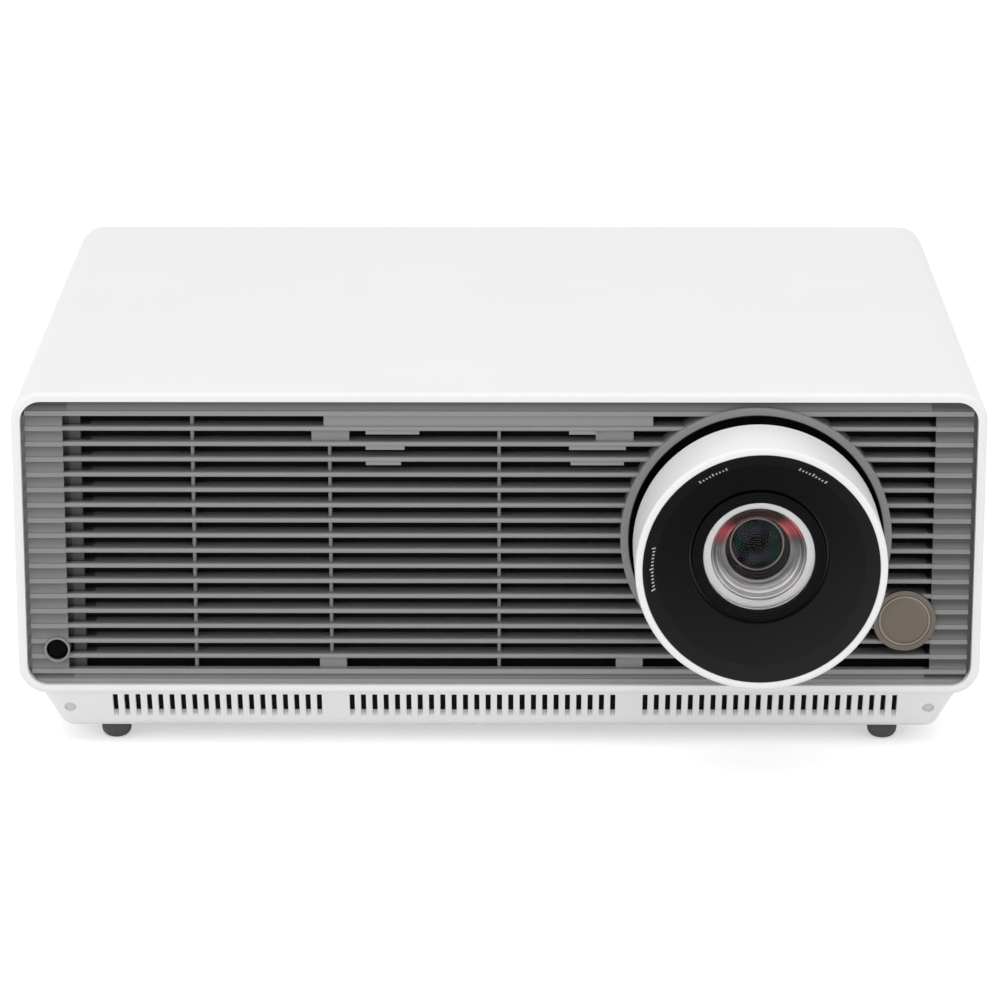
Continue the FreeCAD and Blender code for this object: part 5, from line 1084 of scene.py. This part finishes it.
# ---- mains supply board ----
def supply_parts():
    """The supply board's parts, seen through the exhaust slots."""
    low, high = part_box("power_supply_board")
    top = low.z + 1.6 * MM
    corner = (low.x, low.y, top)
    board = box_between(low, (high.x, high.y, top))
    round_off(board, runs_along(2), 2.0, 3)
    fit(board, "supply_plate", "supply_board", replaces=["power_supply_board"])

    core = block_at(corner, (10, 30, 2), (44, 62, 30))
    for sign in (-1, 1):
        pocket(core, 0, sign, 5, 7)
    soften(core, 0.4)
    fit(core, "transformer_core", "supply_board", finish=ferrite_grey)
    winding = block_at(corner, (12.5, 36, 5), (41.5, 56, 26))
    round_off(winding, runs_along(1), 4, 4)
    fit(winding, "transformer_winding", "supply_board", finish=tape_yellow)

    fins = [block_at(corner, (50, 8, 0), (54, 60, 36))]
    for index in range(5):
        front = 10 + index * 10.5
        fins.append(block_at(corner, (54, front, 2), (60, front + 1.2, 34)))
    sink = gather(fins)
    soften(sink, 0.25, 1)
    fit(sink, "supply_cooler", "sink_alloy")

    coil = []
    for index in range(9):
        left = 9.5 + index * 2.7
        turn = block_at(corner, (left, 68, 0.6), (left + 1.9, 84, 19))
        soften(turn, 0.8)
        coil.append(turn)
    fit(gather(coil), "filter_coil", "pipe_copper")
    bar = block_at(corner, (8.5, 71, 3), (33.5, 81, 16))
    soften(bar, 1.2)
    fit(bar, "filter_core", "supply_board", finish=ferrite_grey)

    strip = block_at(corner, (48, 68, 0), (76, 80, 10))
    soften(strip, 0.4)
    for index in range(3):
        left = 51 + index * 9
        cut_away(strip, block_at(corner, (left, 71, 6), (left + 4.5, 77, 12)))
    fit(strip, "terminal_strip", "supply_board", finish=terminal_green)

    sleeves, tops = [], []
    cans = (20, 16, 9, 34), (40, 16, 9, 34), (70, 22, 6, 22), (70, 40, 6, 22)
    for left, front, wide, tall in cans:
        lathe = Lathe("Z", low.x + left * MM, low.y + front * MM)
        up = ((0.0, wide - 0.4), (0.4, wide), (1.8, wide), (2.3, wide - 0.5), (2.8, wide),
              (tall - 0.7, wide), (tall - 0.15, wide - 0.5), (tall - 0.15, wide - 1.2),
              (tall - 0.6, wide - 1.3), (tall - 0.6, 0.05))
        sleeves.append(lathe.solid(stepped(top, up), 40))
        lid = ((tall - 0.6, wide - 1.32), (tall - 0.3, wide - 1.4), (tall - 0.25, wide * 0.5),
               (tall - 0.4, wide * 0.45), (tall - 0.4, 0.05))
        tops.append(lathe.solid(stepped(top, lid), 40))
    fit(gather(sleeves), "supply_can_sleeves", "supply_board", finish=can_black)
    fit(gather(tops), "supply_can_tops", "sink_alloy", finish=can_top)


white_hood()
black_dish()
dish_ticks()
lens_cell()
lens_elements()
plain_badge()
receiver_window()
grille_screen()
collar_baffle()
vent_screen()
dimple_plugs()
screw_foot("left_foot_pad", "left_knob")
screw_foot("right_foot_pad", "right_knob")
foot_stud("left_foot_stem", "left_stem")
foot_stud("right_foot_stem", "right_stem")
rear_buttons()
case_fixings()
tongue_sockets("video", "hdmi_ports", (0.3, 0.55, 11.5, 1.9),
               ((-5.6, -12.5, -0.3), (5.6, -4.0, 0.9), 0.2), tongue_black,
               (-10.5, -0.38, 10, 1.0, (0.45, 6.0, 0.1)))
tongue_sockets("data", "usb_ports", (0.35, 0.6, 11.5),
               ((-5.5, -12, 0.2), (5.5, -1.6, 1.9), 0.25), tongue_blue,
               (-9.5, 0.1, 4, 2.4, (1.0, 7.0, 0.14)), windows=(-3.2, 3.2))
network_sockets()
round_jacks()
mains_inlet()
stick_button()
panel_fixings()
socket_numbers()
supply_parts()


# ---- room: floor, lamps and camera ----
def white_rays(tree, operation):
    """Above 0 for rays that should meet white; ADD counts a ray of two kinds twice."""
    path = tree.nodes.new("ShaderNodeLightPath")
    seen, *others = (path.outputs[ray] for ray in WHITE_RAYS)
    for other in others:
        either = tree.nodes.new("ShaderNodeMath")
        either.operation = operation
        tree.links.new(seen, either.inputs[0])
        tree.links.new(other, either.inputs[1])
        seen = either.outputs[0]
    return seen


def white_floor():
    """A pale floor that keeps the shadow and glows to the rays that should meet white."""
    bpy.ops.object.select_all(action="DESELECT")
    bpy.ops.mesh.primitive_plane_add(size=FLOOR_SIZE, location=(0, 0, 0))
    floor = bpy.context.object
    floor.name = "studio_floor"
    finish = Finish("floor_pale", Roughness=0.9, Base_Color=grey(0.82))
    seen = Wire(finish, white_rays(finish.tree, "ADD"))
    glow = finish.node("Emission", {}, {"Color": grey(1.0), "Strength": seen * FLOOR_GLOW})
    added = finish.node("AddShader", {}, {0: Wire(finish, finish.shader.outputs[0]), 1: glow})
    finish.tree.links.new(added.socket, finish.tree.nodes["Material Output"].inputs[0])
    floor.data.materials.append(finish.material)


def white_world():
    """A soft world light that those same rays meet as plain white."""
    world = bpy.data.worlds.new("studio_white")
    bpy.context.scene.world = world
    world.use_nodes = True
    tree = world.node_tree
    backs = tree.nodes["Background"], tree.nodes.new("ShaderNodeBackground")
    mixer = tree.nodes.new("ShaderNodeMixShader")
    for place, (back, strength) in enumerate(zip(backs, (WORLD_LIGHT, 1.0)), 1):
        back.inputs["Color"].default_value = grey(1.0)
        back.inputs["Strength"].default_value = strength
        tree.links.new(back.outputs[0], mixer.inputs[place])
    tree.links.new(white_rays(tree, "MAXIMUM"), mixer.inputs[0])
    tree.links.new(mixer.outputs[0], tree.nodes["World Output"].inputs[0])


def soft_lamp(name, place, width, height, watts):
    """A rectangular soft box aimed at the part."""
    lamp = bpy.data.lights.new(name, "AREA")
    lamp.shape = "RECTANGLE"
    lamp.size = width
    lamp.size_y = height
    lamp.energy = watts
    holder = bpy.data.objects.new(name, lamp)
    bpy.context.scene.collection.objects.link(holder)
    holder.location = place
    aim = Vector(LAMP_TARGET) - Vector(place)
    holder.rotation_euler = aim.to_track_quat("-Z", "Y").to_euler()


def place_camera():
    data = bpy.data.cameras.new("product_camera")
    data.sensor_width = SENSOR_WIDTH
    data.lens = SENSOR_WIDTH * FOCAL_WIDTHS
    data.clip_start = 0.05
    data.clip_end = 60.0
    camera = bpy.data.objects.new("product_camera", data)
    bpy.context.scene.collection.objects.link(camera)
    camera.location = CAMERA_PLACE
    camera.rotation_euler = (math.radians(90 - CAMERA_PITCH), 0.0, math.radians(-CAMERA_YAW))
    bpy.context.scene.camera = camera


white_floor()
white_world()
for lamp in LAMPS:
    soft_lamp(*lamp)
place_camera()
bpy.context.scene.view_settings.view_transform = "Standard"
